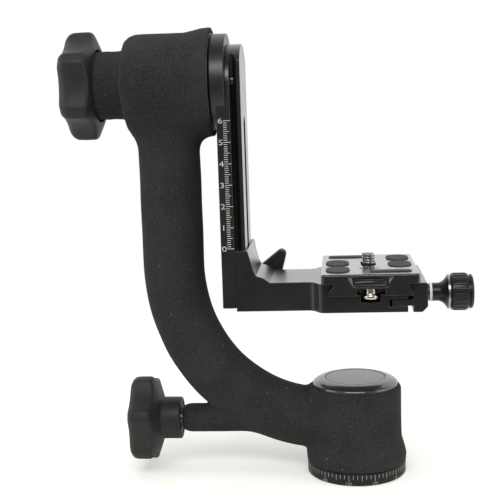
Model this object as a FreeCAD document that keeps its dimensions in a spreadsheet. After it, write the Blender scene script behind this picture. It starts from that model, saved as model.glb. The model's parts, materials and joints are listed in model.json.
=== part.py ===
"""Gimbal tripod head: a side-mount head that carries a long lens or camera.

Frame: the origin is the pan axis at the underside of the base, +Z is up, +X points from the
curved arm towards the camera platform, and +Y points to the height lock's side. Millimetres.
"""
import FreeCAD, Part
import os
import re
import Sketcher

Vector = FreeCAD.Vector
doc = FreeCAD.newDocument("GimbalHead")
sheet = doc.addObject("Spreadsheet::Sheet", "Sizes")
derived = {}
pieces = []

# ---------------------------------------------------------------- driving sizes

SIZES = {
    # Heights and the two main axes
    "tilt_height": 193.8,
    "arm_offset": 88.0,

    # Fits and wall thicknesses shared by several pieces
    "running_gap": 0.05,
    "sliding_gap": 0.2,
    "turning_gap": 0.3,
    "sleeve_wall": 2.4,
    "cut_run": 1.0,

    # Pan base, spindle and bearings
    "base_radius": 24.3,
    "base_height": 6.1,
    "base_edge": 0.6,
    "socket_radius": 4.7625,
    "socket_depth": 11.0,
    "tail_radius": 6.8,
    "flange_radius": 13.5,
    "flange_height": 4.0,
    "shaft_radius": 8.5,
    "bearing_radius": 15.0,
    "bearing_width": 7.0,
    "race_wall": 2.1,
    "ball_radius": 1.9,
    "ball_gap": 0.1,
    "balls_per_bearing": 9,
    "shoulder_radius": 13.4,
    "drum_radius": 12.5,
    "drum_height": 16.0,
    "lock_rise": 10.2,
    "washer_radius": 10.4,
    "washer_thickness": 1.5,
    "top_screw_radius": 3.0,
    "top_screw_length": 12.0,
    "top_screw_head": 5.5,
    "top_screw_head_height": 2.6,
    "hex_radius": 2.2,
    "hex_depth": 1.4,
    "cap_room": 4.2,
    "base_screw_circle": 10.8,
    "base_screw_radius": 2.0,
    "base_screw_head": 3.7,
    "base_screw_length": 9.4,
    "base_screws": 3,

    # Lower hub, its sleeve and its cap
    "hub_radius": 22.5,
    "hem_radius": 24.7,
    "hem_height": 3.1,
    "hem_taper": 11.6,
    "skirt_radius": 21.9,
    "skirt_height": 6.6,
    "sleeve_crown": 1.3,
    "cap_radius": 20.9,
    "cap_height": 3.3,
    "cap_slope": 3.4,
    "cap_edge_height": 0.9,
    "cap_disc_radius": 14.8,
    "cap_disc_depth": 0.8,
    "cap_cavity": 0.7,
    "spigot_depth": 1.6,
    "spigot_wall": 1.6,

    # Curved arm
    "arm_thickness": 30.0,
    "arm_width": 28.0,
    "arm_foot_height": 26.96,
    "upper_bend_radius": 83.6,
    "upper_bend_angle": 26.0,
    "lower_bend_radius": 73.7,

    # Upper hub and tube
    "hub_face": 65.5,
    "upper_hub_radius": 23.8,
    "upper_hub_length": 42.0,
    "shoulder_round": 6.0,
    "flare_radius": 25.6,
    "flare_length": 13.0,
    "flare_land": 4.5,
    "tube_radius": 16.25,
    "tube_length": 18.5,
    "tube_bore": 11.0,
    "sleeve_inset": 2.0,
    "bearing_inset": 0.4,
    "spacer_length": 15.0,
    "web_thickness": 4.5,
    "web_bore": 9.5,

    # Turntable, spindle and swing arm
    "turntable_radius": 22.7,
    "turntable_gap": 0.78,
    "turntable_thickness": 6.84,
    "turntable_spigot": 6.0,
    "turntable_boss": 10.4,
    "spindle_thread_radius": 6.0,
    "spindle_thread_length": 9.1,
    "friction_washer_thickness": 1.5,
    "friction_gap": 0.1,
    "nut_radius": 9.8,
    "nut_thickness": 5.0,
    "swing_half_width": 19.7,
    "swing_thickness": 11.3,
    "swing_recess": 4.3,
    "swing_drop": 107.0,
    "swing_rise": 17.5,
    "dovetail_start": 6.4,
    "dovetail_floor": 1.2,
    "dovetail_neck": 13.0,
    "dovetail_lip": 16.0,
    "dovetail_lip_thickness": 1.8,
    "stop_slot_width": 8.0,
    "stop_slot_depth": 3.0,
    "stop_slot_rise": 19.2,
    "stop_slot_length": 71.0,
    "swing_cap_radius": 13.5,
    "swing_cap_thickness": 1.2,
    "swing_screw_circle": 9.8,
    "swing_screw_radius": 2.0,
    "swing_screw_head": 3.5,
    "swing_screw_head_height": 3.4,
    "swing_screw_bite": 4.3,
    "swing_screws": 4,

    # Screws, pads and knobs of the two locks
    "tilt_stud_radius": 4.9,
    "stud_cover": 2.0,
    "tilt_bush_length": 11.5,
    "thrust_pad_radius": 8.0,
    "thrust_pad_thickness": 3.0,
    "tilt_knob_radius": 25.8,
    "tilt_knob_valley": 19.5,
    "tilt_knob_back": 122.0,
    "tilt_knob_thickness": 13.0,
    "tilt_knob_dome": 2.0,
    "tilt_knob_turn": 30.0,
    "knob_recess_radius": 17.3,
    "knob_recess_depth": 5.0,
    "knob_scallop": 16.0,
    "knob_edge": 1.6,
    "knob_corner": 3.0,
    "knob_lobes": 6,
    "boss_radius": 7.1,
    "boss_core_radius": 6.2,
    "boss_end": 86.5,
    "boss_end_wall": 1.2,
    "pan_bush_radius": 5.2,
    "pan_bush_length": 13.0,
    "pan_stud_radius": 3.95,
    "pan_stud_tip": 68.0,
    "rod_radius": 2.9,
    "shoe_radius": 4.3,
    "shoe_length": 6.5,
    "shoe_gap": 0.15,
    "pan_travel": 1.25,
    "pan_knob_face": 87.1,
    "pan_knob_hub_radius": 10.45,
    "pan_knob_hub_length": 14.4,
    "pan_knob_radius": 22.8,
    "pan_knob_valley": 17.6,
    "pan_knob_thickness": 9.5,
    "pan_knob_dome": 1.3,
    "pan_knob_scallop": 14.0,

    # Height bracket and its lock
    "bracket_gap": 0.1,
    "bracket_half_width": 19.6,
    "bracket_drop": 1.6,
    "bracket_thickness": 13.7,
    "bracket_wall_height": 29.1,
    "bracket_wall_top": 1.0,
    "bracket_wall_foot": 3.6,
    "bracket_foot_rise": 5.8,
    "bracket_bump_start": 46.1,
    "bracket_bump_rise": 3.4,
    "bracket_bump_end": 42.6,
    "bracket_bump_drop": 1.2,
    "bracket_corner": 39.7,
    "flank_gap": 0.2,
    "neck_start": 19.6,
    "flare_end": 15.8,
    "flare_round": 3.5,
    "stop_pin_gap": 0.5,
    "stop_thread_radius": 1.5,
    "stop_thread_length": 1.6,
    "jaw_plate_gap": 0.2,
    "jaw_plate_thickness": 5.2,
    "jaw_plate_end": 28.4,
    "jaw_plate_height": 12.2,
    "height_knob_across": 44.5,
    "height_knob_rise": 7.55,
    "height_stud_radius": 2.95,
    "height_stud_reach": 16.0,
    "height_stud_grip": 3.5,
    "height_hub_radius": 6.5,
    "height_hub_length": 5.0,
    "wings": 3,
    "wing_radius": 21.4,
    "wing_valley": 7.4,
    "wing_angle": 58.5,
    "wing_thickness": 7.0,
    "wing_round": 2.2,

    # Clamp, plate and camera screw
    "clamp_centre": 7.4,
    "clamp_half_width": 26.3,
    "clamp_channel_depth": 5.1,
    "clamp_lip_end": 24.6,
    "clamp_slot_rise": 2.7,
    "clamp_slot_height": 3.5,
    "clamp_slot_end": 16.0,
    "tongue_start": 17.3,
    "tongue_gap": 0.2,
    "jaw_width": 6.75,
    "jaw_foot_drop": 0.1,
    "jaw_corner": 2.5,
    "jaw_edge": 0.7,
    "jaw_boss_radius": 4.2,
    "jaw_boss_length": 2.9,
    "rod_clear_radius": 4.4,
    "clamp_rod_radius": 2.45,
    "clamp_rod_reach": 20.0,
    "clamp_rod_grip": 12.0,
    "clip_radius": 3.9,
    "clip_thickness": 0.8,
    "clip_gap": 0.1,
    "white_washer_radius": 4.5,
    "white_washer_thickness": 1.2,
    "grip_neck_radius": 4.4,
    "grip_neck_length": 3.0,
    "grip_flare_length": 4.4,
    "grip_flare_radius": 8.0,
    "grip_ring_radius": 8.4,
    "grip_ring_length": 0.9,
    "grip_groove_radius": 7.4,
    "grip_groove_length": 0.7,
    "grip_radius": 9.2,
    "grip_length": 8.2,
    "grip_cap_radius": 8.3,
    "grip_cap_length": 1.7,
    "plate_half_width": 22.6,
    "plate_half_length": 31.0,
    "plate_corner": 2.0,
    "plate_gap": 0.1,
    "plate_tip_half_width": 19.4,
    "plate_neck_half_width": 16.75,
    "plate_tip_height": 1.7,
    "plate_neck_height": 5.5,
    "plate_flange": 4.6,
    "flank_clearance": 0.15,
    "stop_groove_half_width": 4.5,
    "stop_groove_depth": 3.8,
    "stop_groove_wall": 11.0,
    "stop_screw_place": 27.2,
    "stop_screw_radius": 3.0,
    "stop_screw_head": 3.6,
    "stop_screw_head_height": 2.4,
    "stop_screw_drop": 2.0,
    "stop_screw_length": 8.6,
    "notch_half_width": 6.5,
    "notch_height": 3.3,
    "notch_depth": 7.6,
    "strap_slot_half_width": 4.7,
    "strap_slot_width": 1.6,
    "strap_slot_place": 13.5,
    "end_slot_half_width": 5.5,
    "end_slot_height": 1.0,
    "end_slot_below_top": 1.4,
    "end_slot_depth": 2.0,
    "screw_slot_half_width": 3.6,
    "screw_slot_front": 6.0,
    "screw_slot_back": 10.0,
    "screw_land": 2.6,
    "screw_land_margin": 4.0,
    "camera_thread_radius": 3.175,
    "camera_neck_radius": 2.5,
    "camera_chamfer": 0.5,
    "camera_thread_height": 5.6,
    "camera_head_radius": 6.6,
    "camera_head_height": 3.2,
    "pad_recess": 0.6,
    "pad_proud": 0.5,
    "pad_fit": 0.05,
    "oval_width": 11.0,
    "oval_length": 16.5,
    "oval_across": 14.9,
    "outer_oval_place": 17.6,
    "middle_oval_place": 2.4,
    "strip_length": 19.5,
    "strip_width": 5.4,
    "strip_across": 9.6,
    "strip_place": 22.9,
}

for row, (alias, number) in enumerate(SIZES.items(), 1):
    sheet.set("A%d" % row, alias)
    sheet.set("B%d" % row, str(number))
    sheet.setAlias("B%d" % row, alias)

# ---------------------------------------------------------------- formulas


def derive(name, formula):
    """Name a length that follows from the driving sizes."""
    derived[name] = formula


def bound(formula):
    """Turn a formula in plain names into an expression on the sheet's cells."""
    def word(match):
        name = match.group(0)
        if name in derived:
            return "(" + bound(derived[name]) + ")"
        return "Sizes." + name if name in SIZES else name
    return re.sub(r"[a-z][a-z_]*", word, formula)


def value(formula):
    """The number that a formula gives now."""
    return float(sheet.evalExpression(bound(formula)))


def bind(thing, prop, formula):
    thing.setExpression(prop, bound(formula))


# Stations along the pan axis, from the underside of the base up
derive("hub_bottom", "base_height + turning_gap")
derive("flange_top", "base_height + flange_height")
derive("drum_bottom", "flange_top + bearing_width")
derive("lock_height", "drum_bottom + lock_rise")
derive("drum_top", "drum_bottom + drum_height")
derive("spindle_top", "drum_top + bearing_width")
derive("hub_top", "spindle_top + cap_room")
derive("cap_top", "hub_top + cap_height")

# Stations along the tilt axis: x of each face
derive("hub_face_at", "-hub_face")
derive("turntable_at", "hub_face_at + turntable_gap")
derive("turntable_front", "turntable_at + turntable_thickness")
derive("swing_back", "turntable_front - swing_recess")
derive("swing_front", "swing_back + swing_thickness")
derive("upper_hub_end", "hub_face_at - upper_hub_length")
derive("tube_end", "upper_hub_end - tube_length")
derive("front_bearing_at", "hub_face_at - bearing_inset - bearing_width")
derive("rear_bearing_at", "front_bearing_at - spacer_length - bearing_width")
derive("web_face", "rear_bearing_at - web_thickness")
derive("friction_at", "web_face - friction_gap - friction_washer_thickness")
derive("nut_at", "friction_at - nut_thickness")
derive("spindle_end", "web_face - spindle_thread_length")
derive("thrust_pad_at", "spindle_end - friction_gap - thrust_pad_thickness")
derive("tilt_knob_front", "-tilt_knob_back - tilt_knob_thickness")

# The arm's straight stretch ends where both bends bring its foot to the hub's middle
derive("bend_start", "arm_foot_height + upper_bend_radius * sin(upper_bend_angle * 1 deg)"
       " + lower_bend_radius * (1 - sin(upper_bend_angle * 1 deg))")

# Stations along the pan lock: x of each face
derive("boss_core_end", "-boss_end + boss_end_wall")
derive("shoe_tip", "-drum_radius - shoe_gap")
derive("shoe_back", "shoe_tip - shoe_length")
derive("pan_stud_at", "-pan_stud_tip")
derive("pan_knob_shoulder", "-pan_knob_face - pan_knob_hub_length")
derive("pan_knob_front", "pan_knob_shoulder - pan_knob_thickness")

# Heights of the swing arm, from the tilt axis, and of its stop slot, from the arm's foot
derive("swing_bottom", "tilt_height - swing_drop")
derive("swing_top", "tilt_height + swing_rise")
derive("stop_slot_bottom", "swing_bottom + stop_slot_rise")
derive("stop_slot_top", "stop_slot_bottom + stop_slot_length")

# The dovetail on the swing arm, and the bracket that grips it
derive("groove_back", "swing_back + dovetail_start")
derive("groove_floor_end", "groove_back + dovetail_floor")
derive("lip_back", "swing_front - dovetail_lip_thickness")
derive("bracket_face", "swing_front + bracket_gap")
derive("jaw_tip", "groove_back + bracket_gap")
derive("jaw_neck", "dovetail_neck + flank_gap")
derive("jaw_mouth", "dovetail_lip + flank_gap")
derive("bracket_bottom", "swing_bottom - bracket_drop")
derive("bracket_top", "bracket_bottom + bracket_wall_height")
derive("arm_top", "bracket_bottom + bracket_thickness")
derive("bracket_foot_height", "arm_top + bracket_foot_rise")
derive("bracket_bump_height", "arm_top + bracket_bump_rise")
derive("height_knob_up", "bracket_bottom + height_knob_rise")
derive("stop_pin_height", "stop_slot_bottom + stop_slot_width / 2")
derive("stop_pin_radius", "stop_slot_width / 2 - stop_pin_gap")
derive("stop_pin_depth", "stop_slot_depth - turning_gap")
derive("rear_jaw_face", "bracket_half_width + jaw_plate_gap")
derive("rear_jaw_back", "rear_jaw_face + jaw_plate_thickness")

# The clamp's dovetail channel and the plate in it
derive("clamp_floor", "arm_top - clamp_channel_depth")
derive("clamp_slot_bottom", "bracket_bottom + clamp_slot_rise")
derive("plate_bottom", "clamp_floor + plate_gap")
derive("plate_tip", "plate_bottom + plate_tip_height")
derive("plate_neck", "plate_bottom + plate_neck_height")
derive("plate_top", "plate_neck + plate_flange")
derive("flank_slope", "(plate_tip_half_width - plate_neck_half_width) / (plate_neck - plate_tip)")
derive("jaw_reach", "plate_neck_half_width + flank_slope * (plate_neck - arm_top) + flank_clearance")
derive("jaw_wall", "plate_tip_half_width + flank_clearance")
derive("clamp_slot_top", "clamp_slot_bottom + clamp_slot_height")
derive("clamp_axis", "clamp_slot_bottom + clamp_slot_height / 2")
derive("jaw_inner", "clamp_centre + jaw_wall")
derive("jaw_outer", "jaw_inner + jaw_width")
derive("washer_at", "jaw_outer + jaw_boss_length")
derive("grip_at", "washer_at + white_washer_thickness")
derive("grip_ring_at", "grip_at + grip_neck_length + grip_flare_length")
derive("grip_groove_at", "grip_ring_at + grip_ring_length")
derive("grip_barrel_at", "grip_groove_at + grip_groove_length")
derive("grip_groove_end", "grip_barrel_at + grip_length + grip_groove_length")
doc.recompute()

# ---------------------------------------------------------------- ways of making a piece

TURNS = {"Z": FreeCAD.Rotation(), "X": FreeCAD.Rotation(Vector(0, 1, 0), 90),
         "Y": FreeCAD.Rotation(Vector(1, 0, 0), -90)}


def place(thing, x="0", y="0", z="0", axis="Z", turn="0"):
    """Stand a thing's own Z along a world axis, at a place given by formulas."""
    spin = FreeCAD.Rotation(Vector(0, 0, 1), value(turn))
    base = Vector(value(x), value(y), value(z))
    thing.Placement = FreeCAD.Placement(base, TURNS[axis].multiply(spin))
    for letter, formula in (("x", x), ("y", y), ("z", z)):
        if formula != "0":
            bind(thing, "Placement.Base." + letter, formula)


def keep(label, thing):
    """Name a finished piece, which becomes one node."""
    thing.Label = label
    pieces.append(thing)
    return thing


def new_body(name):
    return doc.addObject("PartDesign::Body", name)


def origin_feature(body, role):
    return [item for item in body.Origin.OriginFeatures if item.Role == role][0]


def new_sketch(body, plane, offset):
    """A sketch on one of the body's own planes, moved along its normal."""
    sketch = body.newObject("Sketcher::SketchObject", body.Name + "_sketch")
    sketch.AttachmentSupport = [(origin_feature(body, plane + "_Plane"), "")]
    sketch.MapMode = "FlatFace"
    if offset != "0":
        bind(sketch, "AttachmentOffset.Base.z", offset)
    return sketch


def pin_point(sketch, item, point, across, up):
    """Fix a sketch point at two formulas, measured from the sketch's origin."""
    for kind, formula, axis in (("DistanceX", across, -2), ("DistanceY", up, -1)):
        if formula == "0":
            sketch.addConstraint(Sketcher.Constraint("PointOnObject", item, point, axis))
        else:
            rule = Sketcher.Constraint(kind, -1, 1, item, point, value(formula))
            number = sketch.addConstraint(rule)
            bind(sketch, "Constraints[%d]" % number, formula)


def draw_polygon(sketch, corners):
    spots = [Vector(value(across), value(up), 0) for across, up in corners]
    first = sketch.GeometryCount
    count = len(spots)
    for index in range(count):
        sketch.addGeometry(Part.LineSegment(spots[index], spots[(index + 1) % count]), False)
    for index in range(count):
        following = first + (index + 1) % count
        sketch.addConstraint(Sketcher.Constraint("Coincident", first + index, 2, following, 1))
    for index, (across, up) in enumerate(corners):
        pin_point(sketch, first + index, 1, across, up)


def draw_circle(sketch, across, up, radius):
    centre = Vector(value(across), value(up), 0)
    item = sketch.addGeometry(Part.Circle(centre, Vector(0, 0, 1), value(radius)), False)
    number = sketch.addConstraint(Sketcher.Constraint("Radius", item, value(radius)))
    bind(sketch, "Constraints[%d]" % number, radius)
    pin_point(sketch, item, 3, across, up)


def draw_slot(sketch, across, up, length, width, way):
    """A round-ended slot, long along the sketch's own x or y."""
    radius = value(width) / 2
    half = (value(length) - value(width)) / 2
    centre = Vector(value(across), value(up), 0)
    along_x = way == "x"
    step = Vector(half, 0, 0) if along_x else Vector(0, half, 0)
    side = Vector(0, radius, 0) if along_x else Vector(-radius, 0, 0)
    cap = Vector(-radius, 0, 0) if along_x else Vector(0, -radius, 0)
    near = centre - step
    far = centre + step
    item = sketch.GeometryCount
    sketch.addGeometry(Part.Arc(near + side, near + cap, near - side), False)
    sketch.addGeometry(Part.LineSegment(near - side, far - side), False)
    sketch.addGeometry(Part.Arc(far - side, far - cap, far + side), False)
    sketch.addGeometry(Part.LineSegment(far + side, near + side), False)
    for index in range(4):
        following = item + (index + 1) % 4
        sketch.addConstraint(Sketcher.Constraint("Tangent", item + index, 2, following, 1))
    sketch.addConstraint(Sketcher.Constraint("Equal", item, item + 2))
    number = sketch.addConstraint(Sketcher.Constraint("Radius", item, radius))
    bind(sketch, "Constraints[%d]" % number, "(%s) / 2" % width)
    reach = "((%s) - (%s)) / 2" % (length, width)
    for arc, sign in ((item, "-"), (item + 2, "+")):
        if along_x:
            pin_point(sketch, arc, 3, "%s %s %s" % (across, sign, reach), up)
        else:
            pin_point(sketch, arc, 3, across, "%s %s %s" % (up, sign, reach))


def draw(sketch, outline):
    """An outline is a list of corners, a circle (centre, radius) or a slot."""
    if isinstance(outline, list):
        draw_polygon(sketch, outline)
    elif len(outline) == 3:
        draw_circle(sketch, *outline)
    else:
        draw_slot(sketch, *outline)


def pad(body, plane, outline, start, length):
    """Add material from start, over length, along the plane's world axis."""
    offset = "-(%s) - (%s)" % (start, length) if plane == "XZ" else start
    sketch = new_sketch(body, plane, offset)
    draw(sketch, outline)
    feature = body.newObject("PartDesign::Pad", body.Name + "_pad")
    feature.Profile = sketch
    bind(feature, "Length", length)
    body.Tip = feature
    return feature


def pocket(body, plane, outline, start, length):
    """Take material away from start, over length, along the plane's world axis."""
    doc.recompute()
    before = body.Shape.Volume
    offset = "-(%s)" % start if plane == "XZ" else "%s + %s" % (start, length)
    sketch = new_sketch(body, plane, offset)
    draw(sketch, outline)
    feature = body.newObject("PartDesign::Pocket", body.Name + "_pocket")
    feature.Profile = sketch
    bind(feature, "Length", length)
    body.Tip = feature
    doc.recompute()
    if body.Shape.Volume > before - 1e-6:
        raise ValueError("a pocket in %s cuts nothing" % body.Name)
    return feature


def polar(body, features, count):
    """Repeat features round the body's own Z axis."""
    pattern = body.newObject("PartDesign::PolarPattern", body.Name + "_pattern")
    pattern.Originals = features
    pattern.Axis = (origin_feature(body, "Z_Axis"), [""])
    pattern.Angle = 360
    bind(pattern, "Occurrences", count)
    body.Tip = pattern
    return pattern


def revolve(body, profile, kind="Revolution"):
    """Turn (radius, height) corners round the body's own Z axis."""
    sketch = new_sketch(body, "XZ", "0")
    draw_polygon(sketch, profile)
    feature = body.newObject("PartDesign::" + kind, body.Name + "_turning")
    feature.Profile = sketch
    feature.ReferenceAxis = (sketch, ["V_Axis"])
    feature.Angle = 360
    body.Tip = feature
    return feature


def turned(name, profile, x="0", y="0", z="0", axis="Z"):
    body = new_body(name)
    revolve(body, profile)
    place(body, x, y, z, axis)
    return body


def finish_edges(body, kind, amount, wanted):
    """Fillet or chamfer the edges of the body's tip that a test picks."""
    doc.recompute()
    tip = body.Tip
    names = ["Edge%d" % (index + 1) for index, edge in enumerate(tip.Shape.Edges) if wanted(edge)]
    feature = body.newObject("PartDesign::" + kind, body.Name + "_" + kind.lower())
    feature.Base = (tip, names)
    bind(feature, "Radius" if kind == "Fillet" else "Size", amount)
    body.Tip = feature
    doc.recompute()
    return feature


def along(direction):
    """Picks straight edges along a direction."""
    def wanted(edge):
        if not isinstance(edge.Curve, Part.Line):
            return False
        return abs(abs(edge.Curve.Direction.dot(direction)) - 1) < 1e-6
    return wanted


def at_height(height):
    """Picks edges that lie flat at a height along the body's own Z."""
    level = value(height)

    def wanted(edge):
        box = edge.BoundBox
        return abs(box.ZMin - level) < 1e-4 and abs(box.ZMax - level) < 1e-4
    return wanted


def cylinder(name, radius, length, x="0", y="0", z="0", axis="Z"):
    thing = doc.addObject("Part::Cylinder", name)
    bind(thing, "Radius", radius)
    bind(thing, "Height", length)
    place(thing, x, y, z, axis)
    return thing


def joined(name, things):
    fusion = doc.addObject("Part::MultiFuse", name)
    fusion.Shapes = things
    return fusion


def less(name, base, tool):
    cut = doc.addObject("Part::Cut", name)
    cut.Base = base
    cut.Tool = tool
    return cut


def group(name, things):
    compound = doc.addObject("Part::Compound", name)
    compound.Links = things
    return compound


def ring(inner, outer, start, end):
    """Corners of a plain ring's section."""
    return [(inner, start), (outer, start), (outer, end), (inner, end)]


# ---------------------------------------------------------------- pan base and its spindle

# Turned disc that stands on the tripod and carries the pan scale on its rim
base = turned("pan_base_body", [
    ("tail_radius", "0"), ("base_radius - base_edge", "0"), ("base_radius", "base_edge"),
    ("base_radius", "base_height - base_edge"), ("base_radius - base_edge", "base_height"),
    ("tail_radius", "base_height")])
screw_hole = pocket(base, "XY", ("base_screw_circle", "0", "base_screw_radius"), "0", "base_height")
screw_sink = pocket(base, "XY", ("base_screw_circle", "0", "base_screw_head"), "0", "base_screw_radius")
polar(base, [screw_hole, screw_sink], "base_screws")
keep("pan_base", base)

# Steel spindle: its tail holds the tripod thread, its flange is screwed to the disc
spindle = turned("pan_spindle_body", [
    ("socket_radius", "0"), ("tail_radius", "0"), ("tail_radius", "base_height"),
    ("flange_radius", "base_height"), ("flange_radius", "flange_top"),
    ("shaft_radius", "flange_top"), ("shaft_radius", "spindle_top"),
    ("top_screw_radius", "spindle_top"), ("top_screw_radius", "spindle_top - top_screw_length"),
    ("0", "spindle_top - top_screw_length"), ("0", "socket_depth"), ("socket_radius", "socket_depth")])
tapped = pocket(spindle, "XY", ("base_screw_circle", "0", "base_screw_radius"),
                "base_height", "base_screw_length - base_height")
polar(spindle, [tapped], "base_screws")
keep("pan_spindle", spindle)

# Three cap screws, let into the underside of the disc
screws = []
for index in range(int(value("base_screws"))):
    bearing_angle = "%d * 360 deg / base_screws" % index
    screws.append(turned("base_screw_%d" % index, [
        ("0", "0"), ("base_screw_head", "0"), ("base_screw_head", "base_screw_radius"),
        ("base_screw_radius", "base_screw_radius"), ("base_screw_radius", "base_screw_length"),
        ("0", "base_screw_length")],
        x="base_screw_circle * cos(%s)" % bearing_angle, y="base_screw_circle * sin(%s)" % bearing_angle))
keep("base_screws", group("base_screw_set", screws))

# Drum that the pan lock presses on, clamped between the two inner races
keep("pan_brake_drum", turned("drum_body", ring("shaft_radius", "drum_radius", "drum_bottom", "drum_top")))
keep("pan_retaining_washer", turned("pan_washer_body", ring(
    "top_screw_radius", "washer_radius", "spindle_top", "spindle_top + washer_thickness")))
derive("top_head_at", "spindle_top + washer_thickness")
derive("top_head_end", "top_head_at + top_screw_head_height")
keep("pan_retaining_screw", turned("pan_screw_body", [
    ("0", "spindle_top - top_screw_length"), ("top_screw_radius", "spindle_top - top_screw_length"),
    ("top_screw_radius", "top_head_at"), ("top_screw_head", "top_head_at"),
    ("top_screw_head", "top_head_end"), ("hex_radius", "top_head_end"),
    ("hex_radius", "top_head_end - hex_depth"), ("0", "top_head_end - hex_depth")]))


# ---------------------------------------------------------------- ball bearings

def bearing(name, start, axis="Z", height="0"):
    """Inner race, outer race and balls of one deep-groove bearing, 17 x 30 x 7."""
    middle = "%s + bearing_width / 2" % start
    spot = {"z": middle} if axis == "Z" else {"x": middle, "z": height}
    foot = {"z": start} if axis == "Z" else {"x": start, "z": height}
    pitch = "(shaft_radius + bearing_radius) / 2"
    for side, inner, outer in (("inner", "shaft_radius", "shaft_radius + race_wall"),
                               ("outer", "bearing_radius - race_wall", "bearing_radius")):
        blank = turned("%s_%s_blank" % (name, side), ring(inner, outer, "0", "bearing_width"),
                       axis=axis, **foot)
        groove = doc.addObject("Part::Torus", "%s_%s_groove" % (name, side))
        bind(groove, "Radius1", pitch)
        bind(groove, "Radius2", "ball_radius + ball_gap")
        place(groove, axis=axis, **spot)
        keep("%s_%s_race" % (name, side), less("%s_%s_cut" % (name, side), blank, groove))
    balls = []
    for index in range(int(value("balls_per_bearing"))):
        ball = doc.addObject("Part::Sphere", "%s_ball_%d" % (name, index))
        bind(ball, "Radius", "ball_radius")
        angle = "%d * 360 deg / balls_per_bearing" % index
        across = "%s * cos(%s)" % (pitch, angle)
        around = "%s * sin(%s)" % (pitch, angle)
        if axis == "Z":
            place(ball, x=across, y=around, z=middle)
        else:
            place(ball, x=middle, y=around, z="%s + %s" % (height, across))
        balls.append(ball)
    keep("%s_balls" % name, group("%s_ball_set" % name, balls))


bearing("lower_pan_bearing", "flange_top")
bearing("upper_pan_bearing", "drum_top")
bearing("front_tilt_bearing", "front_bearing_at", "X", "tilt_height")
bearing("rear_tilt_bearing", "rear_bearing_at", "X", "tilt_height")


# ---------------------------------------------------------------- curved arm: casting and sleeve

derive("boss_root", "-hub_radius + boss_radius - sleeve_wall")
derive("core_radius", "hub_radius - sleeve_wall")
derive("upper_core_radius", "upper_hub_radius - sleeve_wall")
derive("upper_core_end", "upper_hub_end + sleeve_wall")
derive("core_shoulder", "shoulder_round / 2")
derive("tube_root", "upper_hub_end + shoulder_round")
derive("arm_head", "tilt_height - bearing_radius")


def arm_path():
    """The arm's centre line: a straight and two tangent arcs, ending level under the pan hub."""
    path = doc.addObject("Sketcher::SketchObject", "arm_path")
    path.Placement = FreeCAD.Placement(Vector(), FreeCAD.Rotation(Vector(1, 0, 0), 90))
    turn = value("upper_bend_angle")
    upper = value("upper_bend_radius")
    lower = value("lower_bend_radius")
    straight_top = Vector(-value("arm_offset"), value("arm_head"), 0)
    straight_end = Vector(-value("arm_offset"), value("bend_start"), 0)

    def spoke(angle):
        return FreeCAD.Rotation(Vector(0, 0, 1), angle).multVec(Vector(-1, 0, 0))
    upper_centre = straight_end + Vector(upper, 0, 0)
    meeting = upper_centre + spoke(turn) * upper
    lower_centre = meeting - spoke(turn) * lower
    upper_middle = upper_centre + spoke(turn / 2) * upper
    lower_middle = lower_centre + spoke((turn + 90) / 2) * lower
    foot = lower_centre + spoke(90) * lower
    path.addGeometry(Part.LineSegment(straight_top, straight_end), False)
    path.addGeometry(Part.Arc(straight_end, upper_middle, meeting), False)
    path.addGeometry(Part.Arc(meeting, lower_middle, foot), False)
    pin_point(path, 0, 1, "-arm_offset", "arm_head")
    pin_point(path, 0, 2, "-arm_offset", "bend_start")
    path.addConstraint(Sketcher.Constraint("Tangent", 0, 2, 1, 1))
    path.addConstraint(Sketcher.Constraint("Tangent", 1, 2, 2, 1))
    path.addConstraint(Sketcher.Constraint("Vertical", 2, 3, 2, 2))
    for item, formula in ((1, "upper_bend_radius"), (2, "lower_bend_radius")):
        number = path.addConstraint(Sketcher.Constraint("Radius", item, value(formula)))
        bind(path, "Constraints[%d]" % number, formula)
    number = path.addConstraint(Sketcher.Constraint("Angle", 1, value("upper_bend_angle * pi / 180")))
    bind(path, "Constraints[%d]" % number, "upper_bend_angle * 1 deg")
    return path


def arm_sweep(name, path, wall):
    """The bent part of the arm: an oval carried along the centre line, less a wall all round."""
    oval = doc.addObject("Part::Ellipse", name + "_oval")
    bind(oval, "MajorRadius", "arm_thickness / 2 - %s" % wall)
    bind(oval, "MinorRadius", "arm_width / 2 - %s" % wall)
    place(oval, x="-arm_offset", z="arm_head")
    sweep = doc.addObject("Part::Sweep", name)
    sweep.Sections = [oval]
    sweep.Spine = (path, ["Edge1", "Edge2", "Edge3"])
    sweep.Solid = True
    sweep.Frenet = False
    return sweep


path = arm_path()

# Outer form of the casting, before its bores: pan hub, arm, tilt hub, tube and lock boss
casting_form = joined("casting_form", [
    turned("pan_hub_core", [
        ("0", "hub_bottom"), ("skirt_radius", "hub_bottom"), ("skirt_radius", "hub_bottom + skirt_height"),
        ("core_radius", "hub_bottom + hem_taper"), ("core_radius", "hub_top"), ("0", "hub_top")]),
    arm_sweep("arm_core", path, "sleeve_wall"),
    turned("tilt_hub_core", [
        ("0", "upper_core_end"), ("upper_core_radius - core_shoulder", "upper_core_end"),
        ("upper_core_radius", "upper_core_end + core_shoulder"),
        ("upper_core_radius", "hub_face_at - flare_length"),
        ("flare_radius - sleeve_wall", "hub_face_at - flare_land"),
        ("flare_radius - sleeve_wall", "hub_face_at"), ("0", "hub_face_at")],
        z="tilt_height", axis="X"),
    cylinder("tube_core", "tube_radius - sleeve_wall", "tube_root - tube_end",
             x="tube_end", z="tilt_height", axis="X"),
    cylinder("boss_core", "boss_core_radius", "boss_root - boss_core_end",
             x="boss_core_end", z="lock_height", axis="X")])

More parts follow.
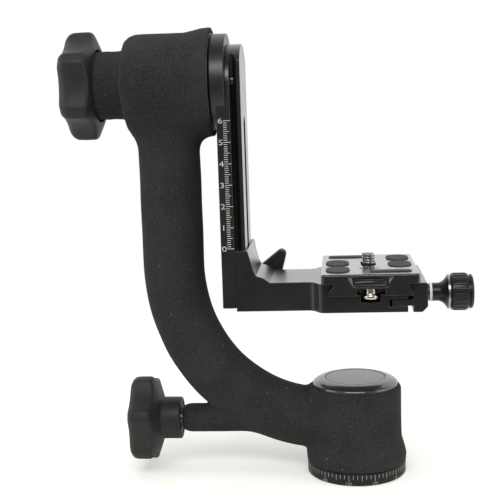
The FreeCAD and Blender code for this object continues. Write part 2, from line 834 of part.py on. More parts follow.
# Bores: bearing seats with a shoulder between them, and the pan lock's way in to the drum
bores = joined("casting_bores", [
    cylinder("lower_seat", "bearing_radius", "drum_bottom - hub_bottom + cut_run",
             z="hub_bottom - cut_run"),
    cylinder("shoulder_bore", "shoulder_radius", "drum_height", z="drum_bottom"),
    cylinder("upper_seat", "bearing_radius", "hub_top - drum_top + cut_run", z="drum_top"),
    cylinder("tilt_seat", "bearing_radius", "hub_face_at - rear_bearing_at + cut_run",
             x="rear_bearing_at", z="tilt_height", axis="X"),
    cylinder("web_hole", "web_bore", "web_thickness", x="web_face", z="tilt_height", axis="X"),
    cylinder("tube_hole", "tube_bore", "web_face - tube_end + cut_run",
             x="tube_end - cut_run", z="tilt_height", axis="X"),
    cylinder("bush_seat", "pan_bush_radius", "pan_bush_length + cut_run",
             x="boss_core_end - cut_run", z="lock_height", axis="X"),
    cylinder("stud_hole", "pan_stud_radius + sliding_gap", "pan_stud_at - boss_core_end + cut_run",
             x="boss_core_end", z="lock_height", axis="X"),
    cylinder("rod_hole", "rod_radius + sliding_gap", "shoe_back - pan_stud_at",
             x="pan_stud_at", z="lock_height", axis="X"),
    cylinder("shoe_hole", "shoe_radius + sliding_gap", "shoe_length + pan_travel + cut_run",
             x="shoe_back - pan_travel - cut_run", z="lock_height", axis="X")])
keep("arm_casting", less("arm_casting_cut", casting_form, bores))

# Foam sleeve drawn over the whole casting, with a rolled hem above the base
sleeve_form = joined("sleeve_form", [
    turned("pan_hub_skin", [
        ("0", "hub_bottom"), ("hem_radius - turning_gap", "hub_bottom"),
        ("hem_radius", "hub_bottom + hem_height"),
        ("hub_radius", "hub_bottom + hem_taper"), ("hub_radius", "hub_top - sleeve_crown"),
        ("hub_radius - sleeve_crown", "hub_top"), ("0", "hub_top")]),
    arm_sweep("arm_skin", path, "0"),
    turned("tilt_hub_skin", [
        ("0", "upper_hub_end"), ("upper_hub_radius - shoulder_round", "upper_hub_end"),
        ("upper_hub_radius - shoulder_round / 4", "upper_hub_end + shoulder_round / 4"),
        ("upper_hub_radius", "upper_hub_end + shoulder_round"),
        ("upper_hub_radius", "hub_face_at - flare_length"), ("flare_radius", "hub_face_at - flare_land"),
        ("flare_radius", "hub_face_at"), ("0", "hub_face_at")], z="tilt_height", axis="X"),
    cylinder("tube_skin", "tube_radius", "tube_root - tube_end - sleeve_inset",
             x="tube_end + sleeve_inset", z="tilt_height", axis="X"),
    turned("boss_skin", [
        ("0", "-boss_end"), ("boss_radius - boss_end_wall", "-boss_end"), ("boss_radius", "boss_core_end"),
        ("boss_radius", "boss_root"), ("0", "boss_root")],
        z="lock_height", axis="X")])
stud_way = cylinder("stud_way", "pan_stud_radius + turning_gap", "boss_end_wall + 2 * cut_run",
                    x="-boss_end - cut_run", z="lock_height", axis="X")
keep("arm_sleeve", less("arm_sleeve_cut", sleeve_form, joined("sleeve_room", [casting_form, stud_way])))

# Cap over the pan bearings, with a plain disc let into its top
derive("spigot_radius", "bearing_radius - running_gap")
keep("pan_cap", turned("pan_cap_body", [
    ("0", "hub_top + cap_cavity"), ("spigot_radius - spigot_wall", "hub_top + cap_cavity"),
    ("spigot_radius - spigot_wall", "hub_top - spigot_depth"), ("spigot_radius", "hub_top - spigot_depth"),
    ("spigot_radius", "hub_top"), ("cap_radius", "hub_top"), ("cap_radius", "hub_top + cap_edge_height"),
    ("cap_radius - cap_slope", "cap_top"), ("cap_disc_radius", "cap_top"),
    ("cap_disc_radius", "cap_top - cap_disc_depth"), ("0", "cap_top - cap_disc_depth")]))
keep("pan_cap_disc", turned("pan_cap_disc_body", [
    ("0", "cap_top - cap_disc_depth"), ("cap_disc_radius - running_gap", "cap_top - cap_disc_depth"),
    ("cap_disc_radius - running_gap", "cap_top"), ("0", "cap_top")]))

# ---------------------------------------------------------------- pan lock


def star_knob(name, radius, valley, scallop, thickness):
    """A knob with lobes round its own Z, from 0 up to its thickness."""
    body = new_body(name)
    pad(body, "XY", ("0", "0", radius), "0", thickness)
    bite = pocket(body, "XY", ("%s + %s" % (valley, scallop), "0", scallop), "0", thickness)
    polar(body, [bite], "knob_lobes")
    finish_edges(body, "Fillet", "knob_corner", along(Vector(0, 0, 1)))
    finish_edges(body, "Fillet", "knob_edge", at_height("0"))
    finish_edges(body, "Fillet", "knob_edge", at_height(thickness))
    return body


def dome(body, radius, rise):
    """A shallow crown on the knob's outer face."""
    revolve(body, [("0", "-%s" % rise), ("%s / 2" % radius, "-%s * 3 / 4" % rise), (radius, "0"),
                   (radius, rise), ("0", rise)])


keep("pan_thread_bush", turned("pan_bush_body", ring(
    "pan_stud_radius + running_gap", "pan_bush_radius", "boss_core_end", "boss_core_end + pan_bush_length"),
    z="lock_height", axis="X"))
keep("pan_push_rod", cylinder("pan_rod", "rod_radius", "shoe_back - pan_stud_at",
                              x="pan_stud_at", z="lock_height", axis="X"))
shoe = cylinder("shoe_blank", "shoe_radius", "shoe_length + shoe_radius",
                x="shoe_back", z="lock_height", axis="X")
drum_room = cylinder("drum_room", "drum_radius + shoe_gap", "drum_height", z="drum_bottom")
keep("pan_brake_shoe", less("shoe_cut", shoe, drum_room))

pan_knob = star_knob("pan_knob_body", "pan_knob_radius", "pan_knob_valley", "pan_knob_scallop",
                     "pan_knob_thickness")
dome(pan_knob, "pan_knob_valley - knob_edge", "pan_knob_dome")
pad(pan_knob, "XY", ("0", "0", "pan_knob_hub_radius"), "pan_knob_thickness", "pan_knob_hub_length")
pocket(pan_knob, "XY", ("0", "0", "pan_stud_radius"), "stud_cover",
       "pan_knob_thickness + pan_knob_hub_length - stud_cover")
place(pan_knob, x="pan_knob_front", z="lock_height", axis="X")
keep("pan_knob", pan_knob)
keep("pan_knob_stud", cylinder("pan_stud", "pan_stud_radius", "pan_stud_at - pan_knob_front - stud_cover",
                               x="pan_knob_front + stud_cover", z="lock_height", axis="X"))

# ---------------------------------------------------------------- tilt spindle and its lock

keep("tilt_outer_spacer", turned("outer_spacer_body", ring(
    "shoulder_radius", "bearing_radius", "rear_bearing_at + bearing_width", "front_bearing_at"),
    z="tilt_height", axis="X"))
keep("tilt_inner_spacer", turned("inner_spacer_body", ring(
    "shaft_radius", "shaft_radius + race_wall", "rear_bearing_at + bearing_width", "front_bearing_at"),
    z="tilt_height", axis="X"))
derive("boss_face_at", "hub_face_at - bearing_inset")
keep("tilt_spindle", turned("tilt_spindle_body", [
    ("0", "spindle_end"), ("spindle_thread_radius", "spindle_end"), ("spindle_thread_radius", "web_face"),
    ("shaft_radius", "web_face"), ("shaft_radius", "boss_face_at"), ("turntable_spigot", "boss_face_at"),
    ("turntable_spigot", "turntable_front"), ("0", "turntable_front")], z="tilt_height", axis="X"))
turntable = turned("turntable_body", [
    ("turntable_spigot", "boss_face_at"), ("turntable_boss", "boss_face_at"),
    ("turntable_boss", "turntable_at"), ("turntable_radius", "turntable_at"),
    ("turntable_radius", "turntable_front"), ("turntable_spigot", "turntable_front")],
    z="tilt_height", axis="X")
tapping = pocket(turntable, "XY", ("swing_screw_circle", "0", "swing_screw_radius"),
                 "turntable_front - swing_screw_bite", "swing_screw_bite")
polar(turntable, [tapping], "swing_screws")
keep("tilt_turntable", turntable)
keep("tilt_friction_washer", turned("friction_body", ring(
    "spindle_thread_radius", "washer_radius", "friction_at", "friction_at + friction_washer_thickness"),
    z="tilt_height", axis="X"))
nut = new_body("nut_body")
hexagon = [("nut_radius * cos(%d deg)" % (60 * side), "nut_radius * sin(%d deg)" % (60 * side))
           for side in range(6)]
hexagon[0] = ("nut_radius", "0")
hexagon[3] = ("-nut_radius", "0")
pad(nut, "YZ", hexagon, "nut_at", "nut_thickness")
pocket(nut, "YZ", ("0", "0", "spindle_thread_radius"), "nut_at", "nut_thickness")
place(nut, z="tilt_height")
keep("tilt_retaining_nut", nut)
keep("tilt_thread_bush", turned("tilt_bush_body", ring(
    "tilt_stud_radius + running_gap", "tube_bore", "tube_end", "tube_end + tilt_bush_length"),
    z="tilt_height", axis="X"))
keep("tilt_thrust_pad", cylinder("thrust_pad_blank", "thrust_pad_radius", "thrust_pad_thickness",
                                 x="thrust_pad_at", z="tilt_height", axis="X"))

tilt_knob = star_knob("tilt_knob_body", "tilt_knob_radius", "tilt_knob_valley", "knob_scallop",
                      "tilt_knob_thickness")
dome(tilt_knob, "tilt_knob_valley - knob_edge", "tilt_knob_dome")
pocket(tilt_knob, "XY", ("0", "0", "knob_recess_radius"), "tilt_knob_thickness - knob_recess_depth",
       "knob_recess_depth")
pocket(tilt_knob, "XY", ("0", "0", "tilt_stud_radius"), "stud_cover",
       "tilt_knob_thickness - knob_recess_depth - stud_cover")
place(tilt_knob, x="tilt_knob_front", z="tilt_height", axis="X", turn="tilt_knob_turn")
keep("tilt_knob", tilt_knob)
keep("tilt_knob_stud", cylinder(
    "tilt_stud", "tilt_stud_radius", "thrust_pad_at - tilt_knob_front - stud_cover",
    x="tilt_knob_front + stud_cover", z="tilt_height", axis="X"))

# ---------------------------------------------------------------- swing arm

def dovetail_cut(sign):
    """One side's undercut in plan: a groove behind a lip, sign - in front and + behind."""
    side = sign + "(swing_half_width + cut_run)"
    return [("groove_back", side), ("groove_back", sign + "dovetail_neck"),
            ("groove_floor_end", sign + "dovetail_neck"), ("lip_back", sign + "dovetail_lip"),
            ("swing_front + cut_run", sign + "dovetail_lip"), ("swing_front + cut_run", side)]


derive("swing_round_at", "swing_top - swing_half_width")
swing = new_body("swing_body")
pad(swing, "YZ", [("-swing_half_width", "swing_bottom"), ("swing_half_width", "swing_bottom"),
                  ("swing_half_width", "swing_round_at"), ("-swing_half_width", "swing_round_at")],
    "swing_back", "swing_thickness")
pad(swing, "YZ", ("0", "swing_round_at", "swing_half_width"), "swing_back", "swing_thickness")
pocket(swing, "YZ", ("0", "tilt_height", "turntable_radius"), "swing_back", "swing_recess")
for sign in ("-", ""):
    pocket(swing, "XY", dovetail_cut(sign), "swing_bottom - cut_run",
           "swing_top - swing_bottom + 2 * cut_run")
pocket(swing, "YZ", ("0", "(stop_slot_top + stop_slot_bottom) / 2", "stop_slot_top - stop_slot_bottom",
                     "stop_slot_width", "y"), "swing_front - stop_slot_depth", "stop_slot_depth")
pocket(swing, "YZ", ("0", "tilt_height", "swing_cap_radius"), "swing_front - swing_cap_thickness",
       "swing_cap_thickness")
derive("swing_head_at", "swing_front - swing_cap_thickness - swing_screw_head_height")
derive("swing_screw_tip", "turntable_front - swing_screw_bite")
screws = []
for index in range(int(value("swing_screws"))):
    angle = "%d * 360 deg / swing_screws" % index
    across = "swing_screw_circle * sin(%s)" % angle
    up = "tilt_height + swing_screw_circle * cos(%s)" % angle
    pocket(swing, "YZ", (across, up, "swing_screw_radius"), "turntable_front",
           "swing_head_at - turntable_front")
    pocket(swing, "YZ", (across, up, "swing_screw_head"), "swing_head_at", "swing_screw_head_height")
    screws.append(turned("swing_screw_%d" % index, [
        ("0", "swing_screw_tip"), ("swing_screw_radius", "swing_screw_tip"),
        ("swing_screw_radius", "swing_head_at"), ("swing_screw_head", "swing_head_at"),
        ("swing_screw_head", "swing_head_at + swing_screw_head_height"),
        ("0", "swing_head_at + swing_screw_head_height")], y=across, z=up, axis="X"))
keep("swing_arm", swing)
keep("turntable_screws", group("turntable_screw_set", screws))
keep("swing_cap", cylinder("swing_cap_blank", "swing_cap_radius", "swing_cap_thickness",
                           x="swing_front - swing_cap_thickness", z="tilt_height", axis="X"))

# ---------------------------------------------------------------- height bracket and clamp body

bracket = new_body("bracket_body")
pad(bracket, "XZ", [
    ("bracket_face", "bracket_bottom"), ("-neck_start", "bracket_bottom"), ("-neck_start", "arm_top"),
    ("-bracket_corner", "arm_top"), ("-bracket_bump_end", "bracket_bump_height - bracket_bump_drop"),
    ("-bracket_bump_start", "bracket_bump_height"),
    ("bracket_face + bracket_wall_foot", "bracket_foot_height"),
    ("bracket_face + bracket_wall_top", "bracket_top"), ("bracket_face", "bracket_top")],
    "-bracket_half_width", "2 * bracket_half_width")
pad(bracket, "XY", [
    ("-neck_start", "-bracket_half_width"), ("-flare_end", "-clamp_half_width"),
    ("-flare_end", "clamp_half_width"), ("-neck_start", "bracket_half_width")],
    "bracket_bottom", "bracket_thickness")
pad(bracket, "XZ", [
    ("-flare_end", "bracket_bottom"), ("clamp_lip_end", "bracket_bottom"),
    ("clamp_lip_end", "clamp_slot_bottom"), ("clamp_slot_end", "clamp_slot_bottom"),
    ("clamp_slot_end", "clamp_slot_top"), ("clamp_lip_end", "clamp_slot_top"),
    ("clamp_lip_end", "clamp_floor"), ("clamp_centre - jaw_wall", "clamp_floor"),
    ("clamp_centre - jaw_wall", "plate_tip"), ("clamp_centre - jaw_reach", "arm_top"),
    ("-flare_end", "arm_top")], "-clamp_half_width", "2 * clamp_half_width")
pad(bracket, "XY", [
    ("jaw_tip", "-bracket_half_width"), ("jaw_tip", "-jaw_neck"), ("groove_floor_end", "-jaw_neck"),
    ("lip_back", "-jaw_mouth"), ("bracket_face + bracket_wall_top / 2", "-jaw_mouth"),
    ("bracket_face + bracket_wall_top / 2", "-bracket_half_width")],
    "bracket_bottom", "bracket_top - bracket_bottom")


def flare_corner(edge):
    """Picks the upright edges where the bracket widens into the clamp."""
    if not along(Vector(0, 0, 1))(edge):
        return False
    spot = edge.CenterOfMass
    for across, around in (("-neck_start", "bracket_half_width"), ("-flare_end", "clamp_half_width")):
        if abs(spot.x - value(across)) < 1e-3 and abs(abs(spot.y) - value(around)) < 1e-3:
            return True
    return False


finish_edges(bracket, "Fillet", "flare_round", flare_corner)
for start in ("-clamp_half_width", "stop_groove_wall"):
    pocket(bracket, "XZ", [
        ("clamp_centre - stop_groove_half_width", "clamp_floor - stop_groove_depth"),
        ("clamp_centre + stop_groove_half_width", "clamp_floor - stop_groove_depth"),
        ("clamp_centre + stop_groove_half_width", "clamp_floor"),
        ("clamp_centre - stop_groove_half_width", "clamp_floor")],
        start, "clamp_half_width - stop_groove_wall")
pocket(bracket, "YZ", ("0", "clamp_axis", "clamp_rod_radius + running_gap"),
       "clamp_lip_end - clamp_rod_reach", "clamp_rod_reach")
pocket(bracket, "XZ", ("-height_knob_across", "height_knob_up", "height_stud_radius + running_gap"),
       "bracket_half_width - height_stud_reach", "height_stud_reach")
pocket(bracket, "YZ", ("0", "stop_pin_height", "stop_thread_radius"), "bracket_face", "stop_thread_length")
keep("l_bracket", bracket)
derive("stop_pin_at", "swing_front - stop_pin_depth")
keep("height_stop_pin", turned("stop_pin_body", [
    ("0", "stop_pin_at"), ("stop_pin_radius", "stop_pin_at"), ("stop_pin_radius", "bracket_face"),
    ("stop_thread_radius", "bracket_face"), ("stop_thread_radius", "bracket_face + stop_thread_length"),
    ("0", "bracket_face + stop_thread_length")], z="stop_pin_height", axis="X"))

# Rear jaw of the height lock: an L-shaped plate whose hook grips the swing arm's rear groove
rear_jaw = new_body("rear_jaw_body")
pad(rear_jaw, "XZ", [
    ("jaw_tip", "bracket_bottom"), ("-jaw_plate_end", "bracket_bottom"),
    ("-jaw_plate_end", "bracket_bottom + jaw_plate_height"),
    ("bracket_face + bracket_wall_foot", "bracket_bottom + jaw_plate_height"),
    ("bracket_face + bracket_wall_top", "bracket_top"), ("jaw_tip", "bracket_top")],
    "rear_jaw_face", "jaw_plate_thickness")
pad(rear_jaw, "XY", [
    ("jaw_tip", "rear_jaw_face + jaw_plate_gap"), ("jaw_tip", "jaw_neck"),
    ("groove_floor_end", "jaw_neck"), ("lip_back", "jaw_mouth"), ("swing_front", "jaw_mouth"),
    ("swing_front", "rear_jaw_face + jaw_plate_gap")],
    "bracket_bottom", "bracket_top - bracket_bottom")
pocket(rear_jaw, "XZ", ("-height_knob_across", "height_knob_up", "height_stud_radius + sliding_gap"),
       "rear_jaw_face", "jaw_plate_thickness")
keep("height_jaw", rear_jaw)

# Three-wing knob that pulls the rear jaw up to the swing arm
wings = new_body("wing_body")
star = []
for index in range(int(value("wings"))):
    for radius, step in (("wing_radius", index), ("wing_valley", index + 0.5)):
        angle = "(wing_angle * 1 deg + %s * 360 deg / wings)" % step
        star.append(("%s * cos(%s)" % (radius, angle), "%s * sin(%s)" % (radius, angle)))
derive("wings_at", "rear_jaw_back + height_hub_length")
pad(wings, "XZ", star, "wings_at", "wing_thickness")
finish_edges(wings, "Fillet", "wing_round", along(Vector(0, 1, 0)))
pad(wings, "XZ", ("0", "0", "height_hub_radius"), "rear_jaw_back", "height_hub_length")
pocket(wings, "XZ", ("0", "0", "height_stud_radius"), "rear_jaw_back", "height_hub_length + height_stud_grip")
place(wings, x="-height_knob_across", z="height_knob_up")
keep("height_knob", wings)
derive("height_stud_at", "bracket_half_width - height_stud_reach")
keep("height_knob_stud", cylinder(
    "height_stud", "height_stud_radius", "wings_at + height_stud_grip - height_stud_at - pan_travel",
    x="-height_knob_across", y="height_stud_at + pan_travel", z="height_knob_up", axis="Y"))

# ---------------------------------------------------------------- clamp jaw and its knob

derive("foot_at", "bracket_bottom - jaw_foot_drop")
jaw = new_body("jaw_body")
pad(jaw, "XZ", [
    ("tongue_start", "clamp_slot_bottom + tongue_gap"), ("jaw_inner", "clamp_slot_bottom + tongue_gap"),
    ("jaw_inner", "foot_at"), ("jaw_outer - jaw_corner", "foot_at"), ("jaw_outer", "foot_at + jaw_corner"),
    ("jaw_outer", "arm_top - jaw_edge"), ("jaw_outer - jaw_edge", "arm_top"),
    ("clamp_centre + jaw_reach", "arm_top"), ("jaw_inner", "plate_tip"),
    ("jaw_inner", "clamp_slot_top - tongue_gap"), ("tongue_start", "clamp_slot_top - tongue_gap")],
    "-clamp_half_width", "2 * clamp_half_width")
pad(jaw, "YZ", ("0", "clamp_axis", "jaw_boss_radius"), "jaw_outer", "jaw_boss_length")
pocket(jaw, "YZ", ("0", "clamp_axis", "rod_clear_radius"), "tongue_start", "jaw_inner - tongue_start")
pocket(jaw, "YZ", ("0", "clamp_axis", "clamp_rod_radius + sliding_gap"), "jaw_inner", "washer_at - jaw_inner")
keep("clamp_jaw", jaw)

derive("clip_at", "jaw_inner - clip_gap - clip_thickness")
derive("rod_end", "grip_at + clamp_rod_grip")
keep("clamp_rod", cylinder("clamp_rod_blank", "clamp_rod_radius", "rod_end - clamp_lip_end + clamp_rod_reach",
                           x="clamp_lip_end - clamp_rod_reach", z="clamp_axis", axis="X"))
keep("clamp_rod_clip", turned("clip_body", ring(
    "clamp_rod_radius", "clip_radius", "clip_at", "clip_at + clip_thickness"), z="clamp_axis", axis="X"))
keep("clamp_washer", turned("white_washer_body", ring(
    "clamp_rod_radius", "white_washer_radius", "washer_at", "grip_at"), z="clamp_axis", axis="X"))
keep("clamp_knob_ring", turned("grip_ring_body", ring(
    "grip_groove_radius", "grip_ring_radius", "grip_ring_at", "grip_groove_at"), z="clamp_axis", axis="X"))
derive("flare_middle", "grip_at + grip_neck_length + grip_flare_length / 2")
derive("grip_end", "grip_groove_end + grip_cap_length")
keep("clamp_knob", turned("clamp_knob_body", [
    ("clamp_rod_radius", "grip_at"), ("grip_neck_radius", "grip_at"),
    ("grip_neck_radius", "grip_at + grip_neck_length"),
    ("grip_neck_radius + (grip_flare_radius - grip_neck_radius) / 4", "flare_middle"),
    ("grip_flare_radius", "grip_ring_at"), ("grip_groove_radius", "grip_ring_at"),
    ("grip_groove_radius", "grip_barrel_at"), ("grip_radius", "grip_barrel_at"),
    ("grip_radius", "grip_barrel_at + grip_length"), ("grip_groove_radius", "grip_barrel_at + grip_length"),
    ("grip_groove_radius", "grip_groove_end"), ("grip_cap_radius", "grip_groove_end"),
    ("grip_cap_radius", "grip_end - grip_cap_length / 3"),
    ("grip_cap_radius - grip_cap_length / 3", "grip_end"),
    ("0", "grip_end"), ("0", "rod_end"), ("clamp_rod_radius", "rod_end")], z="clamp_axis", axis="X"))

# ---------------------------------------------------------------- quick-release plate

plate = new_body("plate_body")
section = []
for side in ("+", "-"):
    half = [("clamp_centre %s plate_tip_half_width" % side, "plate_bottom"),
            ("clamp_centre %s plate_tip_half_width" % side, "plate_tip"),
            ("clamp_centre %s plate_neck_half_width" % side, "plate_neck"),
            ("clamp_centre %s plate_half_width" % side, "plate_neck"),
            ("clamp_centre %s plate_half_width" % side, "plate_top")]
    section += half if side == "+" else half[::-1]
pad(plate, "XZ", section, "-plate_half_length", "2 * plate_half_length")


def flange_corner(edge):
    """Picks the four upright corners of the plate's flange."""
    spot = edge.CenterOfMass
    corner = abs(abs(spot.x - value("clamp_centre")) - value("plate_half_width")) < 1e-3
    return along(Vector(0, 0, 1))(edge) and corner


finish_edges(plate, "Fillet", "plate_corner", flange_corner)
for notch_start, slot_start in (("-plate_half_length", "-plate_half_length"),
                                ("plate_half_length - notch_depth", "plate_half_length - end_slot_depth")):
    pocket(plate, "XZ", [
        ("clamp_centre - notch_half_width", "plate_bottom"),
        ("clamp_centre + notch_half_width", "plate_bottom"),
        ("clamp_centre + notch_half_width", "plate_bottom + notch_height"),
        ("clamp_centre - notch_half_width", "plate_bottom + notch_height")], notch_start, "notch_depth")
    pocket(plate, "XZ", [
        ("clamp_centre - end_slot_half_width", "plate_top - end_slot_below_top - end_slot_height"),
        ("clamp_centre + end_slot_half_width", "plate_top - end_slot_below_top - end_slot_height"),
        ("clamp_centre + end_slot_half_width", "plate_top - end_slot_below_top"),
        ("clamp_centre - end_slot_half_width", "plate_top - end_slot_below_top")],
        slot_start, "end_slot_depth")
derive("screw_slot_length", "screw_slot_front + screw_slot_back")
derive("screw_slot_middle", "(screw_slot_back - screw_slot_front) / 2")
pocket(plate, "XY", ("clamp_centre", "screw_slot_middle", "screw_slot_length",
                     "2 * screw_slot_half_width", "y"), "plate_bottom", "plate_top - plate_bottom")
pocket(plate, "XY", ("clamp_centre", "screw_slot_middle", "screw_slot_length + 2 * screw_land_margin",
                     "2 * screw_slot_half_width + 2 * screw_land_margin", "y"),
       "plate_bottom", "plate_top - screw_land - plate_bottom")
pocket(plate, "XY", ("clamp_centre", "-strap_slot_place", "2 * strap_slot_half_width",
                     "strap_slot_width", "x"), "plate_top - screw_land", "screw_land")
derive("stop_screw_bottom", "plate_bottom - stop_screw_drop")
derive("stop_head_top", "stop_screw_bottom + stop_screw_head_height")
derive("stop_screw_top", "stop_screw_bottom + stop_screw_length")
screws = []
for sign in ("-", ""):
    pocket(plate, "XY", ("clamp_centre", sign + "stop_screw_place", "stop_screw_radius"),
           "plate_bottom + notch_height", "stop_screw_top - plate_bottom - notch_height")
    screws.append(turned("stop_screw_" + ("front" if sign else "back"), [
        ("0", "stop_screw_bottom"), ("stop_screw_head", "stop_screw_bottom"),
        ("stop_screw_head", "stop_head_top"), ("stop_screw_radius", "stop_head_top"),
        ("stop_screw_radius", "stop_screw_top"), ("0", "stop_screw_top")],
        x="clamp_centre", y=sign + "stop_screw_place"))
keep("plate_stop_screws", group("stop_screw_set", screws))

# Six rubber pads let into the plate's top, the two halves turned half a turn from each other
pads = []
for turn, sign in (("front", "-"), ("back", "+")):
    other = "+" if sign == "-" else "-"
    for name, kind, sense, way in (("outer_oval", "oval", sign, "y"), ("middle_oval", "oval", other, "y"),
                                   ("strip", "strip", other, "x")):
        across = "clamp_centre %s %s_across" % (sign, kind)
        up = "0 %s %s_place" % (sense, name)
        length = kind + "_length"
        width = kind + "_width"
        pocket(plate, "XY", (across, up, length, width, way), "plate_top - pad_recess", "pad_recess")
        rubber = new_body("pad_%s_%s" % (name, turn))
        outline = (across, up, length + " - 2 * pad_fit", width + " - 2 * pad_fit", way)
        pad(rubber, "XY", outline, "plate_top - pad_recess", "pad_recess + pad_proud")
        pads.append(rubber)
keep("qr_plate", plate)
keep("plate_pads", group("pad_set", pads))

# Camera screw, its head caught under the plate's land
derive("camera_head_top", "plate_top - screw_land - running_gap")
derive("camera_head_bottom", "camera_head_top - camera_head_height")
derive("camera_thread_start", "plate_top + sliding_gap")
derive("camera_screw_top", "plate_top + camera_thread_height")
keep("camera_screw", turned("camera_screw_body", [
    ("0", "camera_head_bottom"), ("camera_head_radius", "camera_head_bottom"),
    ("camera_head_radius", "camera_head_top"), ("camera_neck_radius", "camera_head_top"),
    ("camera_neck_radius", "camera_thread_start"), ("camera_thread_radius", "camera_thread_start"),
    ("camera_thread_radius", "camera_screw_top - camera_chamfer"),
    ("camera_thread_radius - camera_chamfer", "camera_screw_top"), ("0", "camera_screw_top")],
    x="clamp_centre"))

# ---------------------------------------------------------------- check and write

doc.recompute()
for thing in doc.Objects:
    if "Invalid" in thing.State or "Error" in thing.State:
        raise ValueError("%s could not be built" % thing.Name)
os.makedirs("parts", exist_ok=True)
for piece in pieces:
    shape = piece.Shape
    if shape.isNull() or not shape.isValid() or shape.Volume <= 0:
        raise ValueError("%s is not a sound solid" % piece.Label)
    shape.exportStep("parts/%s.step" % piece.Label)
    print("%-26s solids %2d  volume %10.2f" % (piece.Label, len(shape.Solids), shape.Volume))
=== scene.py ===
import json
import math

import bmesh
import bpy
import numpy as np
from mathutils import Matrix, Vector


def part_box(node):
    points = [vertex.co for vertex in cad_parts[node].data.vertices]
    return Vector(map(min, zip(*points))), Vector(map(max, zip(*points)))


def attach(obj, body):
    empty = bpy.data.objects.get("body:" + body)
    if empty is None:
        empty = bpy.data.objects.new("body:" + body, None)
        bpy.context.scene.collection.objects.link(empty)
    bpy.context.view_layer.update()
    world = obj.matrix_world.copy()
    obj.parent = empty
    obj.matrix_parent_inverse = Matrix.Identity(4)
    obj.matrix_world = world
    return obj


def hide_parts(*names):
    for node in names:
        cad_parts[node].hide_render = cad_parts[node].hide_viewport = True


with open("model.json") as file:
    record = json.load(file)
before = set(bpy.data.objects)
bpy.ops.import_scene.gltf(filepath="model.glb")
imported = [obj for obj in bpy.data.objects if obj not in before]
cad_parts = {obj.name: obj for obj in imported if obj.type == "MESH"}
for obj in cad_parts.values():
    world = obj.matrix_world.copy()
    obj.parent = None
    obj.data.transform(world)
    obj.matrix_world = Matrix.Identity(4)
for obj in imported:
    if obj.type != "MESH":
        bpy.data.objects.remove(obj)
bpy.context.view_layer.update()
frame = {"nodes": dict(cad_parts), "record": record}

nodes = frame["nodes"]
MM = 0.001


# ---- Viewpoint -----------------------------------------------------------------------------------
# The head is seen square on from its front, a little from above, through a long lens.

eye = Vector((-8.25, -480.89, 180.1)) * MM
yaw, pitch, roll = (math.radians(angle) for angle in (4.98, 8.03, -1.89))
forward = Vector((-math.sin(yaw) * math.cos(pitch), math.cos(yaw) * math.cos(pitch), -math.sin(pitch)))
level = Vector((math.cos(yaw), math.sin(yaw), 0))
upward = level.cross(forward)
right = math.cos(roll) * level + math.sin(roll) * upward
top = math.cos(roll) * upward - math.sin(roll) * level
FOCAL_LENGTH, PICTURE_WIDTH = 993.25, 500  # both in pixels


def put_in(name, data):
    """An object in the scene that holds a mesh, a light or a camera."""
    made = bpy.data.objects.new(name, data)
    bpy.context.scene.collection.objects.link(made)
    return made


camera = put_in("camera", bpy.data.cameras.new("camera"))
camera.data.sensor_width = 36
camera.data.lens = camera.data.sensor_width * FOCAL_LENGTH / PICTURE_WIDTH
camera.data.clip_start = 0.01
camera.data.clip_end = 20
camera.matrix_world = Matrix.Translation(eye) @ Matrix((right, top, -forward)).transposed().to_4x4()
bpy.context.scene.camera = camera
bpy.context.scene.view_settings.view_transform = "Standard"


# ---- Studio: soft light and a pale floor ---------------------------------------------------------
# A white sweep stands behind and beside, with a darker room in front. A soft box hangs in front and
# above, weaker ones overhead and at the sides, and the pale floor keeps the shadow.

SWEEP_LEAN, SWEEP_FROM, SWEEP_TO = -0.62, -0.85, 0.15
ROOM_SHADE, FILL_LIGHT = 0.15, 0.42
FLOOR_RADIUS, FLOOR_DROP, FLOOR_GLOW = 1400, 0.05, 0.30
# The floor fades out between two distances from a point behind the foot, in metres.
FADE_FROM, FADE_TO, FADE_SHIFT, FADE_STRETCH = 0.24, 0.42, (0.04, -0.14, 0.0), (1.0, 1.2, 1.0)


def add(tree, kind, inputs=None, **settings):
    """A node in a tree, with its settings, and its inputs given as numbers or as other sockets."""
    made = tree.nodes.new(kind)
    for key, value in settings.items():
        setattr(made, key, value)
    for key, value in (inputs or {}).items():
        if isinstance(value, bpy.types.NodeSocket):
            tree.links.new(value, made.inputs[key])
        else:
            made.inputs[key].default_value = value
    return made


world = bpy.data.worlds.new("studio")
bpy.context.scene.world = world
world.use_nodes = True
tree = world.node_tree
tree.nodes.clear()
rays = add(tree, "ShaderNodeLightPath")
bounced = add(tree, "ShaderNodeMath", {0: rays.outputs["Is Glossy Ray"],
                                       1: rays.outputs["Is Transmission Ray"]}, operation="MAXIMUM")
compass = add(tree, "ShaderNodeSeparateXYZ", {0: add(tree, "ShaderNodeTexCoord").outputs["Generated"]})
overhead = add(tree, "ShaderNodeMath", {0: compass.outputs["Z"], 1: SWEEP_LEAN, 2: compass.outputs["Y"]},
               operation="MULTIPLY_ADD")
sweep = add(tree, "ShaderNodeMapRange", {
    "Value": overhead.outputs[0], "From Min": SWEEP_FROM, "From Max": SWEEP_TO, "To Min": ROOM_SHADE,
    "To Max": 1.0}, interpolation_type="SMOOTHSTEP")
fill = add(tree, "ShaderNodeMapRange", {"Value": bounced.outputs[0], "To Min": FILL_LIGHT})
tree.links.new(sweep.outputs[0], fill.inputs["To Max"])
strength = add(tree, "ShaderNodeMapRange", {"Value": rays.outputs["Is Camera Ray"], "To Max": 1.0})
tree.links.new(fill.outputs[0], strength.inputs["To Min"])
sky = add(tree, "ShaderNodeBackground", {"Color": (1, 1, 1, 1), "Strength": strength.outputs[0]})
add(tree, "ShaderNodeOutputWorld", {"Surface": sky.outputs[0]})


